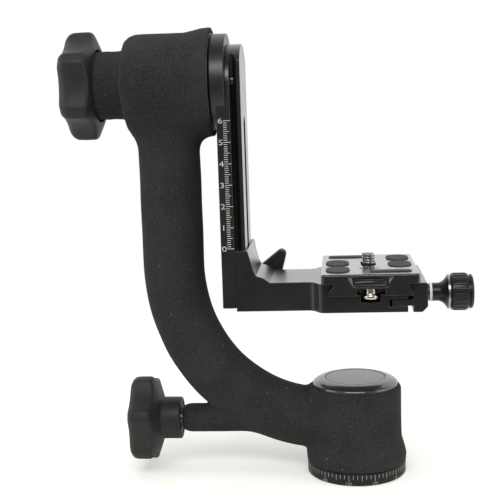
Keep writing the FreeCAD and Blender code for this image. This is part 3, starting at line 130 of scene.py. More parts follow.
def soft_box(name, place, aim, width, height, power):
    """A rectangular soft light at a place, turned towards a point (millimetres)."""
    lamp = bpy.data.lights.new(name, "AREA")
    lamp.shape = "RECTANGLE"
    lamp.size = width * MM
    lamp.size_y = height * MM
    lamp.energy = power
    box = put_in(name, lamp)
    turned_to = (Vector(aim) - Vector(place)).to_track_quat("-Z", "Y").to_matrix().to_4x4()
    box.matrix_world = Matrix.Translation(Vector(place) * MM) @ turned_to
    return box


soft_box("front_box", (-60, -820, 760), (-50, 0, 90), 900, 300, 5.5)
soft_box("top_box", (-40, 40, 950), (-40, 0, 100), 800, 600, 2.6).visible_glossy = False
soft_box("left_box", (-850, -300, 380), (-50, 0, 110), 500, 600, 1.6)
soft_box("right_box", (850, -260, 340), (-50, 0, 110), 500, 600, 1.6)

floor_mesh = bpy.data.meshes.new("floor")
grid = bmesh.new()
bmesh.ops.create_circle(grid, cap_ends=True, segments=96, radius=FLOOR_RADIUS * MM,
                        matrix=Matrix.Translation((0, 0, -FLOOR_DROP * MM)))
grid.to_mesh(floor_mesh)
grid.free()
floor = put_in("floor", floor_mesh)
paint = bpy.data.materials.new("pale_floor")
paint.use_nodes = True
tree = paint.node_tree
tree.nodes.clear()
place = add(tree, "ShaderNodeTexCoord")
spread = add(tree, "ShaderNodeMapping", {"Vector": place.outputs["Object"], "Location": FADE_SHIFT,
                                         "Scale": FADE_STRETCH})
distance = add(tree, "ShaderNodeVectorMath", {0: spread.outputs[0]}, operation="LENGTH")
fade = add(tree, "ShaderNodeMapRange", {"Value": distance.outputs["Value"], "From Min": FADE_FROM,
                                        "From Max": FADE_TO}, interpolation_type="SMOOTHSTEP")
mottle = add(tree, "ShaderNodeTexNoise", {"Vector": place.outputs["Object"], "Scale": 180.0,
                                          "Detail": 4.0})
tone = add(tree, "ShaderNodeMix", {"Factor": mottle.outputs["Fac"]}, data_type="RGBA")
tone.inputs["A"].default_value = (0.95, 0.93, 0.86, 1)
tone.inputs["B"].default_value = (0.965, 0.945, 0.88, 1)
matt = add(tree, "ShaderNodeBsdfDiffuse", {"Color": tone.outputs["Result"]})
rays = add(tree, "ShaderNodeLightPath")
lift = add(tree, "ShaderNodeMath", {0: rays.outputs["Is Camera Ray"], 1: FLOOR_GLOW},
           operation="MULTIPLY")
glow = add(tree, "ShaderNodeEmission", {"Color": (1, 1, 1, 1), "Strength": lift.outputs[0]})
lit = add(tree, "ShaderNodeAddShader", {0: matt.outputs[0], 1: glow.outputs[0]})
clear = add(tree, "ShaderNodeBsdfTransparent")
faded = add(tree, "ShaderNodeMixShader", {0: fade.outputs[0], 1: lit.outputs[0], 2: clear.outputs[0]})
add(tree, "ShaderNodeOutputMaterial", {"Surface": faded.outputs[0]})
floor_mesh.materials.append(paint)


# ---- Foam sleeve ---------------------------------------------------------------------------------
# A skin of fine closed-cell foam, moulded to the arm and glued on: hub, bent arm, tilt hub, tube and
# lock boss in one run, drawn smooth over the inner corners and trimmed flat at its openings.

def finish_material(name, colour, roughness, build=None, **shader):
    """A node-based finish. build(tree, shader, object coordinates) adds its own pattern."""
    made = bpy.data.materials.new(name)
    made.use_nodes = True
    tree = made.node_tree
    bsdf = tree.nodes["Principled BSDF"]
    bsdf.inputs["Base Color"].default_value = (*colour, 1)
    bsdf.inputs["Roughness"].default_value = roughness
    for key, value in shader.items():
        bsdf.inputs[key.replace("_", " ")].default_value = value
    made.diffuse_color = (*colour, 1)
    if build:
        build(tree, bsdf, add(tree, "ShaderNodeTexCoord").outputs["Object"])
    return made


def grain(tree, where, scale, detail=3.0, roughness=0.6):
    """Even noise over a surface."""
    return add(tree, "ShaderNodeTexNoise", {"Vector": where, "Scale": scale, "Detail": detail,
                                           "Roughness": roughness}).outputs["Fac"]


def ramp(tree, value, low, high, out_low=0.0, out_high=1.0):
    """A value rescaled from one range to another, held at its ends."""
    return add(tree, "ShaderNodeMapRange", {"Value": value, "From Min": low, "From Max": high,
                                           "To Min": out_low, "To Max": out_high}).outputs[0]


def blended(tree, share, first, second):
    """A colour between two, each a colour or a socket."""
    made = add(tree, "ShaderNodeMix", {"Factor": share}, data_type="RGBA")
    for slot_name, colour in (("A", first), ("B", second)):
        if isinstance(colour, bpy.types.NodeSocket):
            tree.links.new(colour, made.inputs[slot_name])
        else:
            made.inputs[slot_name].default_value = (*colour, 1)
    return made.outputs["Result"]


def clouded(tree, cloud, dark, light):
    """A colour that drifts softly between a dark and a light one."""
    return blended(tree, ramp(tree, cloud, 0.35, 0.65), dark, light)


def bumped(tree, bsdf, height, strength, distance, under=None):
    """A bump from a height, over an earlier bump if one is given."""
    made = add(tree, "ShaderNodeBump", {"Height": height, "Strength": strength, "Distance": distance})
    if under is not None:
        tree.links.new(under, made.inputs["Normal"])
    tree.links.new(made.outputs["Normal"], bsdf.inputs["Normal"])
    return made.outputs["Normal"]


def foam(tree, bsdf, where):
    """Fine open pores over soft clouds, with a few flecks of lint."""
    pores = grain(tree, where, 1500, 4.0, 0.7)
    cloud = grain(tree, where, 60, 3.0)
    patches = grain(tree, where, 14, 2.0)
    shade = clouded(tree, cloud, (0.019, 0.019, 0.0195), (0.028, 0.028, 0.029))
    shade = blended(tree, ramp(tree, pores, 0.45, 0.68, 0.0, 0.7), shade, (0.062, 0.062, 0.063))
    shade = blended(tree, ramp(tree, patches, 0.5, 0.75, 0.0, 0.25), shade, (0.037, 0.037, 0.035))
    lint = add(tree, "ShaderNodeTexVoronoi", {"Vector": where, "Scale": 420, "Randomness": 1.0})
    chosen = add(tree, "ShaderNodeSeparateColor", {"Color": lint.outputs["Color"]})
    fleck = add(tree, "ShaderNodeMath", {0: ramp(tree, lint.outputs["Distance"], 0.10, 0.16, 1.0, 0.0),
                                         1: ramp(tree, chosen.outputs["Red"], 0.93, 0.94)},
                operation="MULTIPLY").outputs[0]
    shade = blended(tree, fleck, shade, (0.15, 0.15, 0.145))
    tree.links.new(shade, bsdf.inputs["Base Color"])
    first = bumped(tree, bsdf, cloud, 0.25, 0.0004)
    bumped(tree, bsdf, pores, 0.75, 0.00022, first)


sleeve_foam = finish_material("sleeve_foam", (0.031, 0.031, 0.031), 0.95, foam,
                              Specular_IOR_Level=0.12, Sheen_Weight=0.05, Sheen_Roughness=0.45)

TILT_AXIS, LOCK_AXIS, ARM_LINE = 193.8, 27.3, -88.0
ARM_WIDE, ARM_DEEP, ARM_TOP = 15.0, 14.0, 180  # the arm's oval, from its middle
BEND_START, BEND = 105.0, math.radians(26.0)
UPPER_BEND, LOWER_BEND = 83.6, 73.7
UPPER_CENTRE = np.array((ARM_LINE + UPPER_BEND, BEND_START))
BEND_MEET = UPPER_CENTRE - UPPER_BEND * np.array((math.cos(BEND), math.sin(BEND)))
LOWER_CENTRE = BEND_MEET + LOWER_BEND * np.array((math.cos(BEND), math.sin(BEND)))
SKIN_STEP, SKIN_PASSES = 1.1, 5
SLEEVE_WALL, BOSS_WALL, MOUTH_WALL = 2.25, 0.38, 0.45  # the last two are shares of the first
MOUTH_HEIGHT, MOUTH_RADIUS = 43.0, 20.2
HUB_MELT, TUBE_MELT, FOOT_MELT, BOSS_MELT = 9.0, 2.5, 3.5, 2.5


def outline_distance(along, out, profile):
    """Signed distance to a turned form, from its half outline of (along, radius) points."""
    points = [*profile, *[(a, -r) for a, r in reversed(profile)]]
    nearest = np.full(along.shape, 1e9)
    inside = np.zeros(along.shape, bool)
    for (a, r), (b, s) in zip(points, points[1:] + points[:1]):
        edge = np.array((b - a, s - r), float)
        if not edge.any():
            continue
        share = np.clip(((along - a) * edge[0] + (out - r) * edge[1]) / (edge @ edge), 0, 1)
        nearest = np.minimum(nearest, np.hypot(along - a - share * edge[0], out - r - share * edge[1]))
        crosses = (r > out) != (s > out)
        if s != r:
            inside ^= crosses & (along < (b - a) * (out - r) / (s - r) + a)
    return np.where(inside, -nearest, nearest)


def melted(first, second, reach):
    """Two distances joined with a fillet."""
    share = np.maximum(reach - np.abs(first - second), 0) / reach
    return np.minimum(first, second) - share * share * reach / 4


def arm_distance(p):
    """Signed distance to the bent arm, an oval drawn along a straight and two arcs."""
    x, y, z = p.T
    flat = np.stack((x, z), 1)
    straight = np.where(z >= BEND_START, np.hypot(x - ARM_LINE, np.maximum(z - ARM_TOP, 0)), 1e9)
    upper = flat - UPPER_CENTRE
    turn = np.arctan2(-upper[:, 1], -upper[:, 0])
    first = np.where((turn >= 0) & (turn <= BEND), np.abs(np.hypot(*upper.T) - UPPER_BEND), 1e9)
    lower = flat - LOWER_CENTRE
    turn = np.arctan2(-lower[:, 1], -lower[:, 0])
    second = np.where((turn >= BEND) & (turn <= math.pi / 2),
                      np.abs(np.hypot(*lower.T) - LOWER_BEND), 1e9)
    foot = LOWER_CENTRE - (0, LOWER_BEND)
    end = np.hypot(*(flat - foot).T)
    off = np.minimum(np.minimum(straight, first), np.minimum(second, end))
    share = np.hypot(off / ARM_WIDE, y / ARM_DEEP)
    slope = np.hypot(off / ARM_WIDE ** 2, y / ARM_DEEP ** 2)
    return np.where(slope > 1e-9, share * (share - 1) / np.maximum(slope, 1e-9), -ARM_DEEP)


PAN_HUB = [(3.0, 0), (3.0, 24.3), (6.4, 24.45), (9.5, 24.7), (13.5, 23.7), (18.0, 22.5), (42.6, 22.5),
           (43.7, 21.9), (44.3, 21.2), (44.3, 0)]
TILT_HUB = [(-107.5, 0), (-107.5, 15.0), (-107.3, 18.6), (-106.3, 21.2), (-104.3, 22.9), (-101.5, 23.7),
            (-98.5, 23.9), (-78.5, 23.8), (-74.0, 24.6), (-70.0, 25.5), (-66.5, 25.8), (-65.5, 25.7),
            (-62.0, 25.6), (-62.0, 0)]
TUBE = [(-128.0, 0), (-128.0, 16.2), (-101.5, 16.2), (-100.0, 0)]
BOSS = [(-88.0, 0), (-88.0, 4.9), (-86.5, 5.0), (-86.4, 5.4), (-86.1, 5.8), (-85.3, 6.35), (-84.2, 6.75),
        (-83.0, 7.0), (-82.0, 7.1), (-17.8, 7.1), (-17.8, 0)]


def sleeve_distance(p):
    """Signed distance to the whole sleeve, in millimetres."""
    x, y, z = p.T
    pan_hub = outline_distance(z, np.hypot(x, y), PAN_HUB)
    from_tilt = np.hypot(y, z - TILT_AXIS)
    tilt_hub = outline_distance(x, from_tilt, TILT_HUB)
    tube = outline_distance(x, from_tilt, TUBE)
    boss = outline_distance(x, np.hypot(y, z - LOCK_AXIS), BOSS)
    body = melted(arm_distance(p), tilt_hub, HUB_MELT)
    body = melted(body, tube, TUBE_MELT)
    body = melted(body, pan_hub, FOOT_MELT)
    body = melted(body, boss, BOSS_MELT)
    # Small wrinkles where the foam was pushed over the tube, and slow waves over all of it.
    ripple = 0.10 * np.sin(x * 0.9 + 2.0 * np.sin(y * 0.25)) * np.exp(-((x + 112) / 9) ** 2)
    ripple += 0.12 * np.sin(z * 0.16 + y * 0.21) * np.sin(x * 0.13 - z * 0.07)
    return body - ripple


def turned_rings(profile, axis_point, axis, sides):
    """Points and faces of a closed turned form, from (along, radius) points."""
    axis = Vector(axis)
    side = axis.orthogonal().normalized()
    other = axis.cross(side)
    points, faces, rings = [], [], []
    for along, radius in profile:
        centre = Vector(axis_point) + axis * along
        if radius < 1e-6:
            rings.append([len(points)] * sides)
            points.append(centre)
            continue
        rings.append(list(range(len(points), len(points) + sides)))
        for step in range(sides):
            angle = 2 * math.pi * step / sides
            points.append(centre + radius * (math.cos(angle) * side + math.sin(angle) * other))
    for low, high in zip(rings, rings[1:]):
        for step in range(sides):
            after = (step + 1) % sides
            face = []
            for corner in (low[step], low[after], high[after], high[step]):
                if corner not in face:
                    face.append(corner)
            if len(face) > 2:
                faces.append(face)
    return points, faces


def gathered(forms):
    """The points and faces of several forms, as one."""
    points, faces = [], []
    for more_points, more_faces in forms:
        faces.extend([[corner + len(points) for corner in face] for face in more_faces])
        points.extend(more_points)
    return points, faces


def closed_up(mesh):
    """Doubled corners merged, and every face turned outwards."""
    work = bmesh.new()
    work.from_mesh(mesh)
    bmesh.ops.remove_doubles(work, verts=work.verts, dist=1e-7)
    bmesh.ops.recalc_face_normals(work, faces=work.faces)
    work.to_mesh(mesh)
    work.free()


def new_piece(name, points, faces, material=None, smooth=True):
    """A mesh object from points in millimetres, closed and facing outwards."""
    mesh = bpy.data.meshes.new(name)
    mesh.from_pydata([Vector(p) * MM for p in points], [], faces)
    closed_up(mesh)
    if smooth:
        mesh.shade_smooth()
    if material:
        mesh.materials.append(material)
    return put_in(name, mesh)


def made_plain(piece):
    """The piece's modifiers carried into its own mesh."""
    bpy.context.view_layer.update()
    graph = bpy.context.evaluated_depsgraph_get()
    mesh = bpy.data.meshes.new_from_object(piece.evaluated_get(graph))
    piece.modifiers.clear()
    piece.data = mesh
    mesh.name = piece.name
    return piece


def arm_sections(sides=40):
    """Rings of points along the arm, for the first rough form."""
    line = [((ARM_LINE, z), (1, 0)) for z in np.linspace(ARM_TOP + 2, BEND_START, 20)]
    for angle in np.linspace(0, BEND, 12)[1:]:
        out = np.array((math.cos(angle), math.sin(angle)))
        line.append((UPPER_CENTRE - UPPER_BEND * out, out))
    for angle in np.linspace(BEND, math.pi / 2, 26)[1:]:
        out = np.array((math.cos(angle), math.sin(angle)))
        line.append((LOWER_CENTRE - LOWER_BEND * out, out))
    points, faces = [], []
    for (x, z), out in line:
        for step in range(sides):
            angle = 2 * math.pi * step / sides
            points.append((x + ARM_WIDE * math.cos(angle) * out[0], ARM_DEEP * math.sin(angle),
                           z + ARM_WIDE * math.cos(angle) * out[1]))
    for row in range(len(line) - 1):
        for step in range(sides):
            here, below = row * sides, (row + 1) * sides
            after = (step + 1) % sides
            faces.append((here + step, here + after, below + after, below + step))
    faces.append(tuple(range(sides)))
    faces.append(tuple(range((len(line) - 1) * sides, len(line) * sides)))
    return points, faces


rough_forms = (
    arm_sections(),
    turned_rings(PAN_HUB, (0, 0, 0), (0, 0, 1), 64),
    turned_rings(TILT_HUB, (0, 0, TILT_AXIS), (1, 0, 0), 64),
    turned_rings(TUBE, (0, 0, TILT_AXIS), (1, 0, 0), 64),
    turned_rings(BOSS, (0, 0, LOCK_AXIS), (1, 0, 0), 48))
sleeve = new_piece("foam_sleeve", *gathered(rough_forms), sleeve_foam)
remesh = sleeve.modifiers.new("skin", "REMESH")
remesh.mode = "VOXEL"
remesh.voxel_size = SKIN_STEP * MM
made_plain(sleeve)

# The rough skin is drawn onto the smooth form in a few passes.
skin = np.empty(len(sleeve.data.vertices) * 3)
sleeve.data.vertices.foreach_get("co", skin)
skin = skin.reshape(-1, 3) / MM
for passing in range(SKIN_PASSES):
    here = sleeve_distance(skin)
    slope = np.stack([(sleeve_distance(skin + shift) - sleeve_distance(skin - shift)) / 0.2
                      for shift in np.eye(3) * 0.1], 1)
    size = np.maximum(np.linalg.norm(slope, axis=1), 0.3)
    skin -= slope * (np.clip(here, -1.5, 1.5) / size ** 2)[:, None]
sleeve.data.vertices.foreach_set("co", (skin * MM).ravel())
sleeve.data.update()

# Each opening is cut flat: a point on the cut, the way out, and where the faces near it lie.
OPENINGS = (
    ((0, 0, 6.4), (0, 0, -1), lambda x, z: x > -30 and z < 20),      # foot of the hub
    ((-65.5, 0, 0), (1, 0, 0), lambda x, z: x > -75 and z > 150),    # front of the tilt hub
    ((-124, 0, 0), (-1, 0, 0), lambda x, z: x < -115 and z > 150),   # end of the tube
    ((-86.5, 0, 0), (-1, 0, 0), lambda x, z: x < -80 and z < 40))    # end of the lock boss
work = bmesh.new()
work.from_mesh(sleeve.data)
for at, way, near in OPENINGS:
    point, normal = Vector(at) * MM, Vector(way)
    chosen = [face for face in work.faces if near(*face.calc_center_median().xz / MM)]
    edges = {edge for face in chosen for edge in face.edges}
    corners = {corner for face in chosen for corner in face.verts}
    bmesh.ops.bisect_plane(work, geom=[*chosen, *edges, *corners], plane_co=point, plane_no=normal,
                           clear_outer=False, dist=1e-7)
    beyond = [face for face in work.faces if near(*face.calc_center_median().xz / MM)
              and (face.calc_center_median() - point).dot(normal) > 1e-6]
    bmesh.ops.delete(work, geom=beyond, context="FACES")

# The mouth for the cap in the hub's top, and the thinner wall round it and on the lock boss.
mouth = [face for face in work.faces if face.calc_center_median().z > MOUTH_HEIGHT * MM
         and face.calc_center_median().xy.length < (MOUTH_RADIUS - 0.3) * MM]
bmesh.ops.delete(work, geom=mouth, context="FACES")
for corner in work.verts:
    if (corner.is_boundary and corner.co.z > MOUTH_HEIGHT * MM
            and corner.co.xy.length < (MOUTH_RADIUS + 1.8) * MM):
        corner.co.xy *= MOUTH_RADIUS * MM / corner.co.xy.length
bmesh.ops.recalc_face_normals(work, faces=work.faces)
layer = work.verts.layers.deform.verify()
for corner in work.verts:
    p = corner.co / MM
    wall = 1.0
    if p.z < 40 and p.x < -30 and math.hypot(p.y, p.z - LOCK_AXIS) < 8.5:
        wall = BOSS_WALL
    if p.x > -25 and p.z > MOUTH_HEIGHT - 1.5:
        wall = MOUTH_WALL
    corner[layer][0] = wall
work.to_mesh(sleeve.data)
work.free()
sleeve.vertex_groups.new(name="wall")
sleeve.data.shade_smooth()
shell = sleeve.modifiers.new("wall", "SOLIDIFY")
shell.thickness = SLEEVE_WALL * MM
shell.offset = -1
shell.vertex_group = "wall"
shell.thickness_vertex_group = 0
made_plain(sleeve)
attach(sleeve, "arm")
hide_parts("arm_sleeve")


# ---- Hub cap -------------------------------------------------------------------------------------
# A turned alloy cap over the pan bearing, with a rolled rim and a satin disc let into its top. It is
# pressed into the bearing seat after the retaining screw is tight.

def turning_marks(tree, bsdf, where, centre, axis, spacing, strength):
    """Fine rings left by the lathe tool, about an axis through a point (millimetres)."""
    moved = add(tree, "ShaderNodeMapping", {"Vector": where, "Location": [-c * MM for c in centre]})
    rings = add(tree, "ShaderNodeTexWave", {"Vector": moved.outputs[0], "Scale": 0.314 / (spacing * MM),
                                           "Distortion": 0.6, "Detail": 2.0, "Detail Scale": 3.0},
                wave_type="RINGS", rings_direction=axis)
    return bumped(tree, bsdf, rings.outputs["Fac"], strength, 0.00002)


def worn_edges(tree, where, shade, bare, radius=0.35):
    """The colour where handling has thinned the finish along the edges."""
    eased = add(tree, "ShaderNodeBevel", {"Radius": radius * MM}, samples=4)
    surface = add(tree, "ShaderNodeNewGeometry")
    bend = add(tree, "ShaderNodeVectorMath", {0: eased.outputs[0], 1: surface.outputs["Normal"]},
               operation="DOT_PRODUCT").outputs["Value"]
    edge = ramp(tree, bend, 0.985, 0.86)
    patchy = ramp(tree, grain(tree, where, 320, 3.0), 0.42, 0.62)
    share = add(tree, "ShaderNodeMath", {0: edge, 1: patchy}, operation="MULTIPLY").outputs[0]
    return blended(tree, share, shade, bare)


def satin_black(dark, light, rough_low, rough_high, bare=(0.045, 0.045, 0.044), marks=None):
    """A builder for black anodising over fine blasting, uneven in depth and worn at its edges."""
    def build(tree, bsdf, where):
        cloud = grain(tree, where, 45, 4.0)
        blast = grain(tree, where, 2600, 2.0)
        shade = clouded(tree, cloud, dark, light)
        shade = blended(tree, ramp(tree, blast, 0.5, 0.75, 0.0, 0.35), shade, bare)
        tree.links.new(worn_edges(tree, where, shade, bare), bsdf.inputs["Base Color"])
        tree.links.new(ramp(tree, cloud, 0.3, 0.7, rough_low, rough_high), bsdf.inputs["Roughness"])
        if marks:
            rings = turning_marks(tree, bsdf, where, *marks, 0.35)
            bumped(tree, bsdf, blast, 0.15, 0.00004, rings)
        else:
            bumped(tree, bsdf, blast, 0.18, 0.00004)
    return build


cap_finish = finish_material(
    "cap_rim", (0.02, 0.02, 0.018), 0.34,
    satin_black((0.016, 0.016, 0.0135), (0.024, 0.024, 0.020), 0.34, 0.42, (0.08, 0.078, 0.066),
                ((0, 0, 0), "Z", 0.30)),
    IOR=1.4, Coat_Weight=0.9, Coat_IOR=1.9, Coat_Roughness=0.10)
disc_finish = finish_material(
    "hub_disc", (0.05, 0.05, 0.043), 0.42,
    satin_black((0.060, 0.060, 0.052), (0.080, 0.080, 0.070), 0.38, 0.48, (0.13, 0.13, 0.115),
                ((0, 0, 0), "Z", 0.22)),
    IOR=1.6, Coat_Weight=0.8, Coat_Roughness=0.26)


def turned(name, profile, centre, axis, sides, material, body, replaced=()):
    """A closed lathe-turned piece from (along, radius) points, on a body."""
    piece = new_piece(name, *turned_rings(profile, centre, axis, sides), material)
    piece.data.set_sharp_from_angle(angle=math.radians(32))
    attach(piece, body)
    if replaced:
        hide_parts(*replaced)
    return piece


CAP_RIM = [(44.75, 0), (44.75, 13.3), (42.75, 13.4), (42.75, 14.9), (44.36, 14.95), (44.36, 20.75),
           (44.5, 20.9), (45.0, 20.9), (45.3, 20.82), (45.7, 20.5), (46.1, 20.0), (46.5, 19.35),
           (46.85, 18.6), (47.15, 17.8), (47.35, 17.05), (47.5, 16.3), (47.58, 15.6), (47.58, 15.1),
           (47.5, 14.95), (47.3, 14.88), (46.85, 14.88), (46.85, 0)]
turned("hub_cap_rim", CAP_RIM, (0, 0, 0), (0, 0, 1), 128, cap_finish, "arm", ("pan_cap",))
DISC = [(46.87, 0), (46.87, 14.6), (47.25, 14.62), (47.45, 14.5), (47.52, 14.3), (47.55, 13.5),
        (47.56, 0)]
turned("hub_cap_disc", DISC, (0, 0, 0), (0, 0, 1), 128, disc_finish, "arm",
       ("pan_cap_disc",))


# ---- Base ring with its pan scale ----------------------------------------------------------------
# The fixed foot of the head: a turned, black anodised ring, screwed to the spindle's flange. Its
# scale is engraved every 5 degrees, filled with pale paint, and numbered every 30.

RING_RADIUS, RING_TOP, NUMBER_LINE = 24.3, 5.5, 1.25
FRONT_VALUE, MARKS, NUMBER_EVERY = 140, 72, 30  # the scale reads 140 degrees at the front


def eased_edges(piece, width, steps, angle, **settings):
    """A bevel over the edges that are sharper than an angle (millimetres, degrees)."""
    bevel = piece.modifiers.new("edges", "BEVEL")
    bevel.width = width * MM
    bevel.segments = steps
    bevel.limit_method = "ANGLE"
    bevel.angle_limit = math.radians(angle)
    for key, value in settings.items():
        setattr(bevel, key, value)


def machined(name, node, body, material, edge=0.3, steps=2, prepare=None, cutter=None):
    """A copy of a node's solid with its sharp edges broken, as they leave the mill."""
    mesh = nodes[node].data.copy()
    mesh.name = name
    work = bmesh.new()
    work.from_mesh(mesh)
    bmesh.ops.remove_doubles(work, verts=work.verts, dist=2e-6)
    bmesh.ops.dissolve_limit(work, angle_limit=math.radians(0.6), verts=work.verts, edges=work.edges)
    if prepare:
        prepare(work)
    work.to_mesh(mesh)
    work.free()
    mesh.materials.clear()
    mesh.materials.append(material)
    mesh.shade_smooth()
    piece = put_in(name, mesh)
    if cutter:
        cut = piece.modifiers.new("cut", "BOOLEAN")
        cut.operation = "DIFFERENCE"
        cut.solver = "EXACT"
        cut.object = cutter
    eased_edges(piece, edge, steps, 28, use_clamp_overlap=False)
    weigh = piece.modifiers.new("flat_faces", "WEIGHTED_NORMAL")
    weigh.mode = "FACE_AREA"
    weigh.weight = 100
    made_plain(piece)
    if cutter:
        bpy.data.objects.remove(cutter)
    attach(piece, body)
    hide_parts(node)
    return piece


def grown(name, tree, values, body, start=None):
    """A plain mesh grown by a tree of nodes, from its named values."""
    piece = put_in(name, start or bpy.data.meshes.new(name))
    growth = piece.modifiers.new("growth", "NODES")
    growth.node_group = tree
    for item in tree.interface.items_tree:
        if item.item_type == "SOCKET" and item.in_out == "INPUT" and item.name in values:
            growth[item.identifier] = values[item.name]
    made_plain(piece)
    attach(piece, body)
    return piece


def new_tree(name, sizes):
    """An empty tree of geometry nodes with its named sizes; returns the tree and its input sockets."""
    tree = bpy.data.node_groups.new(name, "GeometryNodeTree")
    tree.interface.new_socket("Geometry", in_out="OUTPUT", socket_type="NodeSocketGeometry")
    tree.interface.new_socket("Geometry", in_out="INPUT", socket_type="NodeSocketGeometry")
    for label, kind, number in sizes:
        made = tree.interface.new_socket(label, in_out="INPUT", socket_type="NodeSocket" + kind)
        made.default_value = number
    return tree, tree.nodes.new("NodeGroupInput").outputs


def reckon(tree, operation, *values):
    """One step of arithmetic in a tree."""
    return add(tree, "ShaderNodeMath", dict(enumerate(values)), operation=operation).outputs[0]


def vector(tree, x=0.0, y=0.0, z=0.0):
    """Three numbers or sockets as one vector."""
    return add(tree, "ShaderNodeCombineXYZ", {"X": x, "Y": y, "Z": z}).outputs[0]


def finished_tree(tree, instances, material):
    """The last nodes: instances made real and given their material."""
    real = add(tree, "GeometryNodeRealizeInstances", {"Geometry": instances})
    coloured = add(tree, "GeometryNodeSetMaterial", {"Geometry": real.outputs[0]})
    coloured.inputs["Material"].default_value = material
    add(tree, "NodeGroupOutput", {"Geometry": coloured.outputs[0]})
    return tree


def paint_fill(tree, bsdf, where, thin=(0.50, 0.49, 0.44), full=(0.66, 0.65, 0.60)):
    """Pale paint rubbed into an engraving, uneven and chipped."""
    chips = ramp(tree, grain(tree, where, 1800, 3.0), 0.30, 0.42)
    tone = blended(tree, grain(tree, where, 240, 2.0), thin, full)
    tree.links.new(blended(tree, chips, (0.12, 0.12, 0.11), tone), bsdf.inputs["Base Color"])
    bumped(tree, bsdf, grain(tree, where, 2400, 2.0), 0.3, 0.00003)


def mark_length(tree, size, value, middle_every, long_every):
    """The length of a scale's mark: short, longer at the middle steps, and longest at the full ones."""
    def on_step(step):
        return reckon(tree, "COMPARE", reckon(tree, "FLOORED_MODULO", value, step), 0.0, 0.1)
    more = reckon(tree, "MULTIPLY", on_step(middle_every),
                  reckon(tree, "SUBTRACT", size["Middle"], size["Short"]))
    most = reckon(tree, "MULTIPLY", on_step(long_every),
                  reckon(tree, "SUBTRACT", size["Long"], size["Middle"]))
    return reckon(tree, "ADD", reckon(tree, "ADD", size["Short"], more), most)


def ring_marks(material):
    """A mark every few degrees round a ring, from its top edge down, longer at every 15 and 30."""
    tree, size = new_tree("ring_marks", [
        ("Marks", "Int", 72), ("Ring radius", "Float", 0.0243), ("Top", "Float", 0.0055),
        ("First value", "Float", 140.0), ("Short", "Float", 0.002), ("Middle", "Float", 0.0027),
        ("Long", "Float", 0.0031), ("Width", "Float", 0.0003), ("Depth", "Float", 0.0001)])
    index = add(tree, "GeometryNodeInputIndex").outputs[0]
    degrees = reckon(tree, "DIVIDE", reckon(tree, "MULTIPLY", index, 360.0), size["Marks"])
    value = reckon(tree, "SUBTRACT", size["First value"], degrees)
    length = mark_length(tree, size, value, 15.0, 30.0)
    angle = reckon(tree, "RADIANS", degrees)
    x = reckon(tree, "MULTIPLY", size["Ring radius"], reckon(tree, "SINE", angle))
    y = reckon(tree, "MULTIPLY", size["Ring radius"],
               reckon(tree, "MULTIPLY", reckon(tree, "COSINE", angle), -1.0))
    z = reckon(tree, "SUBTRACT", size["Top"], reckon(tree, "DIVIDE", length, 2.0))
    points = add(tree, "GeometryNodePoints", {"Count": size["Marks"], "Position": vector(tree, x, y, z)})
    box = add(tree, "GeometryNodeMeshCube", {"Size": (1.0, 1.0, 1.0)})
    turn = add(tree, "FunctionNodeEulerToRotation", {"Euler": vector(tree, 0.0, 0.0, angle)})
    stamped = add(tree, "GeometryNodeInstanceOnPoints", {
        "Points": points.outputs[0], "Instance": box.outputs["Mesh"], "Rotation": turn.outputs[0],
        "Scale": vector(tree, size["Width"], size["Depth"], length)})
    return finished_tree(tree, stamped.outputs[0], material)


def numeral(text, height, wide=1.0):
    """The points and faces of a flat number, centred on the origin, in millimetres."""
    curve = bpy.data.curves.new("numeral", "FONT")
    curve.body = text
    curve.align_x = "CENTER"
    curve.align_y = "CENTER"
    curve.resolution_u = 4
    curve.extrude = 0.02
    letter = put_in("numeral", curve)
    bpy.context.view_layer.update()
    mesh = bpy.data.meshes.new_from_object(letter.evaluated_get(bpy.context.evaluated_depsgraph_get()))
    bpy.data.objects.remove(letter)
    spots = np.array([v.co for v in mesh.vertices])
    faces = [tuple(f.vertices) for f in mesh.polygons]
    middle = (spots.min(0) + spots.max(0)) / 2
    scale = height / (spots[:, 1].max() - spots[:, 1].min())
    spots = (spots - middle) * (scale * wide, scale, 1.6)
    bpy.data.meshes.remove(mesh)
    return spots, faces


ring_finish = finish_material(
    "base_ring_black", (0.008, 0.008, 0.008), 0.42,
    satin_black((0.006, 0.006, 0.0058), (0.010, 0.010, 0.0096), 0.38, 0.48,
                marks=((0, 0, 0), "Z", 0.25)), IOR=1.4)
worn_paint = finish_material(
    "worn_paint", (0.3, 0.3, 0.28), 0.6,
    lambda tree, bsdf, where: paint_fill(tree, bsdf, where, (0.21, 0.21, 0.19), (0.38, 0.375, 0.34)))
machined("base_ring", "pan_base", "base", ring_finish, 0.25)
grown("base_ring_marks", ring_marks(worn_paint),
      {"Marks": MARKS, "Ring radius": RING_RADIUS * MM, "Top": RING_TOP * MM,
       "First value": float(FRONT_VALUE)}, "base")


def on_the_ring(number):
    """A number bent round the ring under its own mark."""
    flat, faces = numeral(str(number), 1.5)
    points = []
    for x, y, depth in flat:
        angle = math.radians(FRONT_VALUE - number) + x / RING_RADIUS
        reach = RING_RADIUS + depth
        points.append((reach * math.sin(angle), -reach * math.cos(angle), NUMBER_LINE + y))
    return points, faces


numbers = new_piece("base_ring_numbers", *gathered(map(on_the_ring, range(0, 360, NUMBER_EVERY))),
                    worn_paint, smooth=False)
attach(numbers, "base")


# ---- Star knobs ----------------------------------------------------------------------------------
# Two moulded knobs with six lobes, matte black, each over a steel stud: the large one on the tilt
# tube, hollowed so that it slides over the tube's end, and the pan knob with a long plain hub. The
# lobes are drawn in behind, towards the hub.

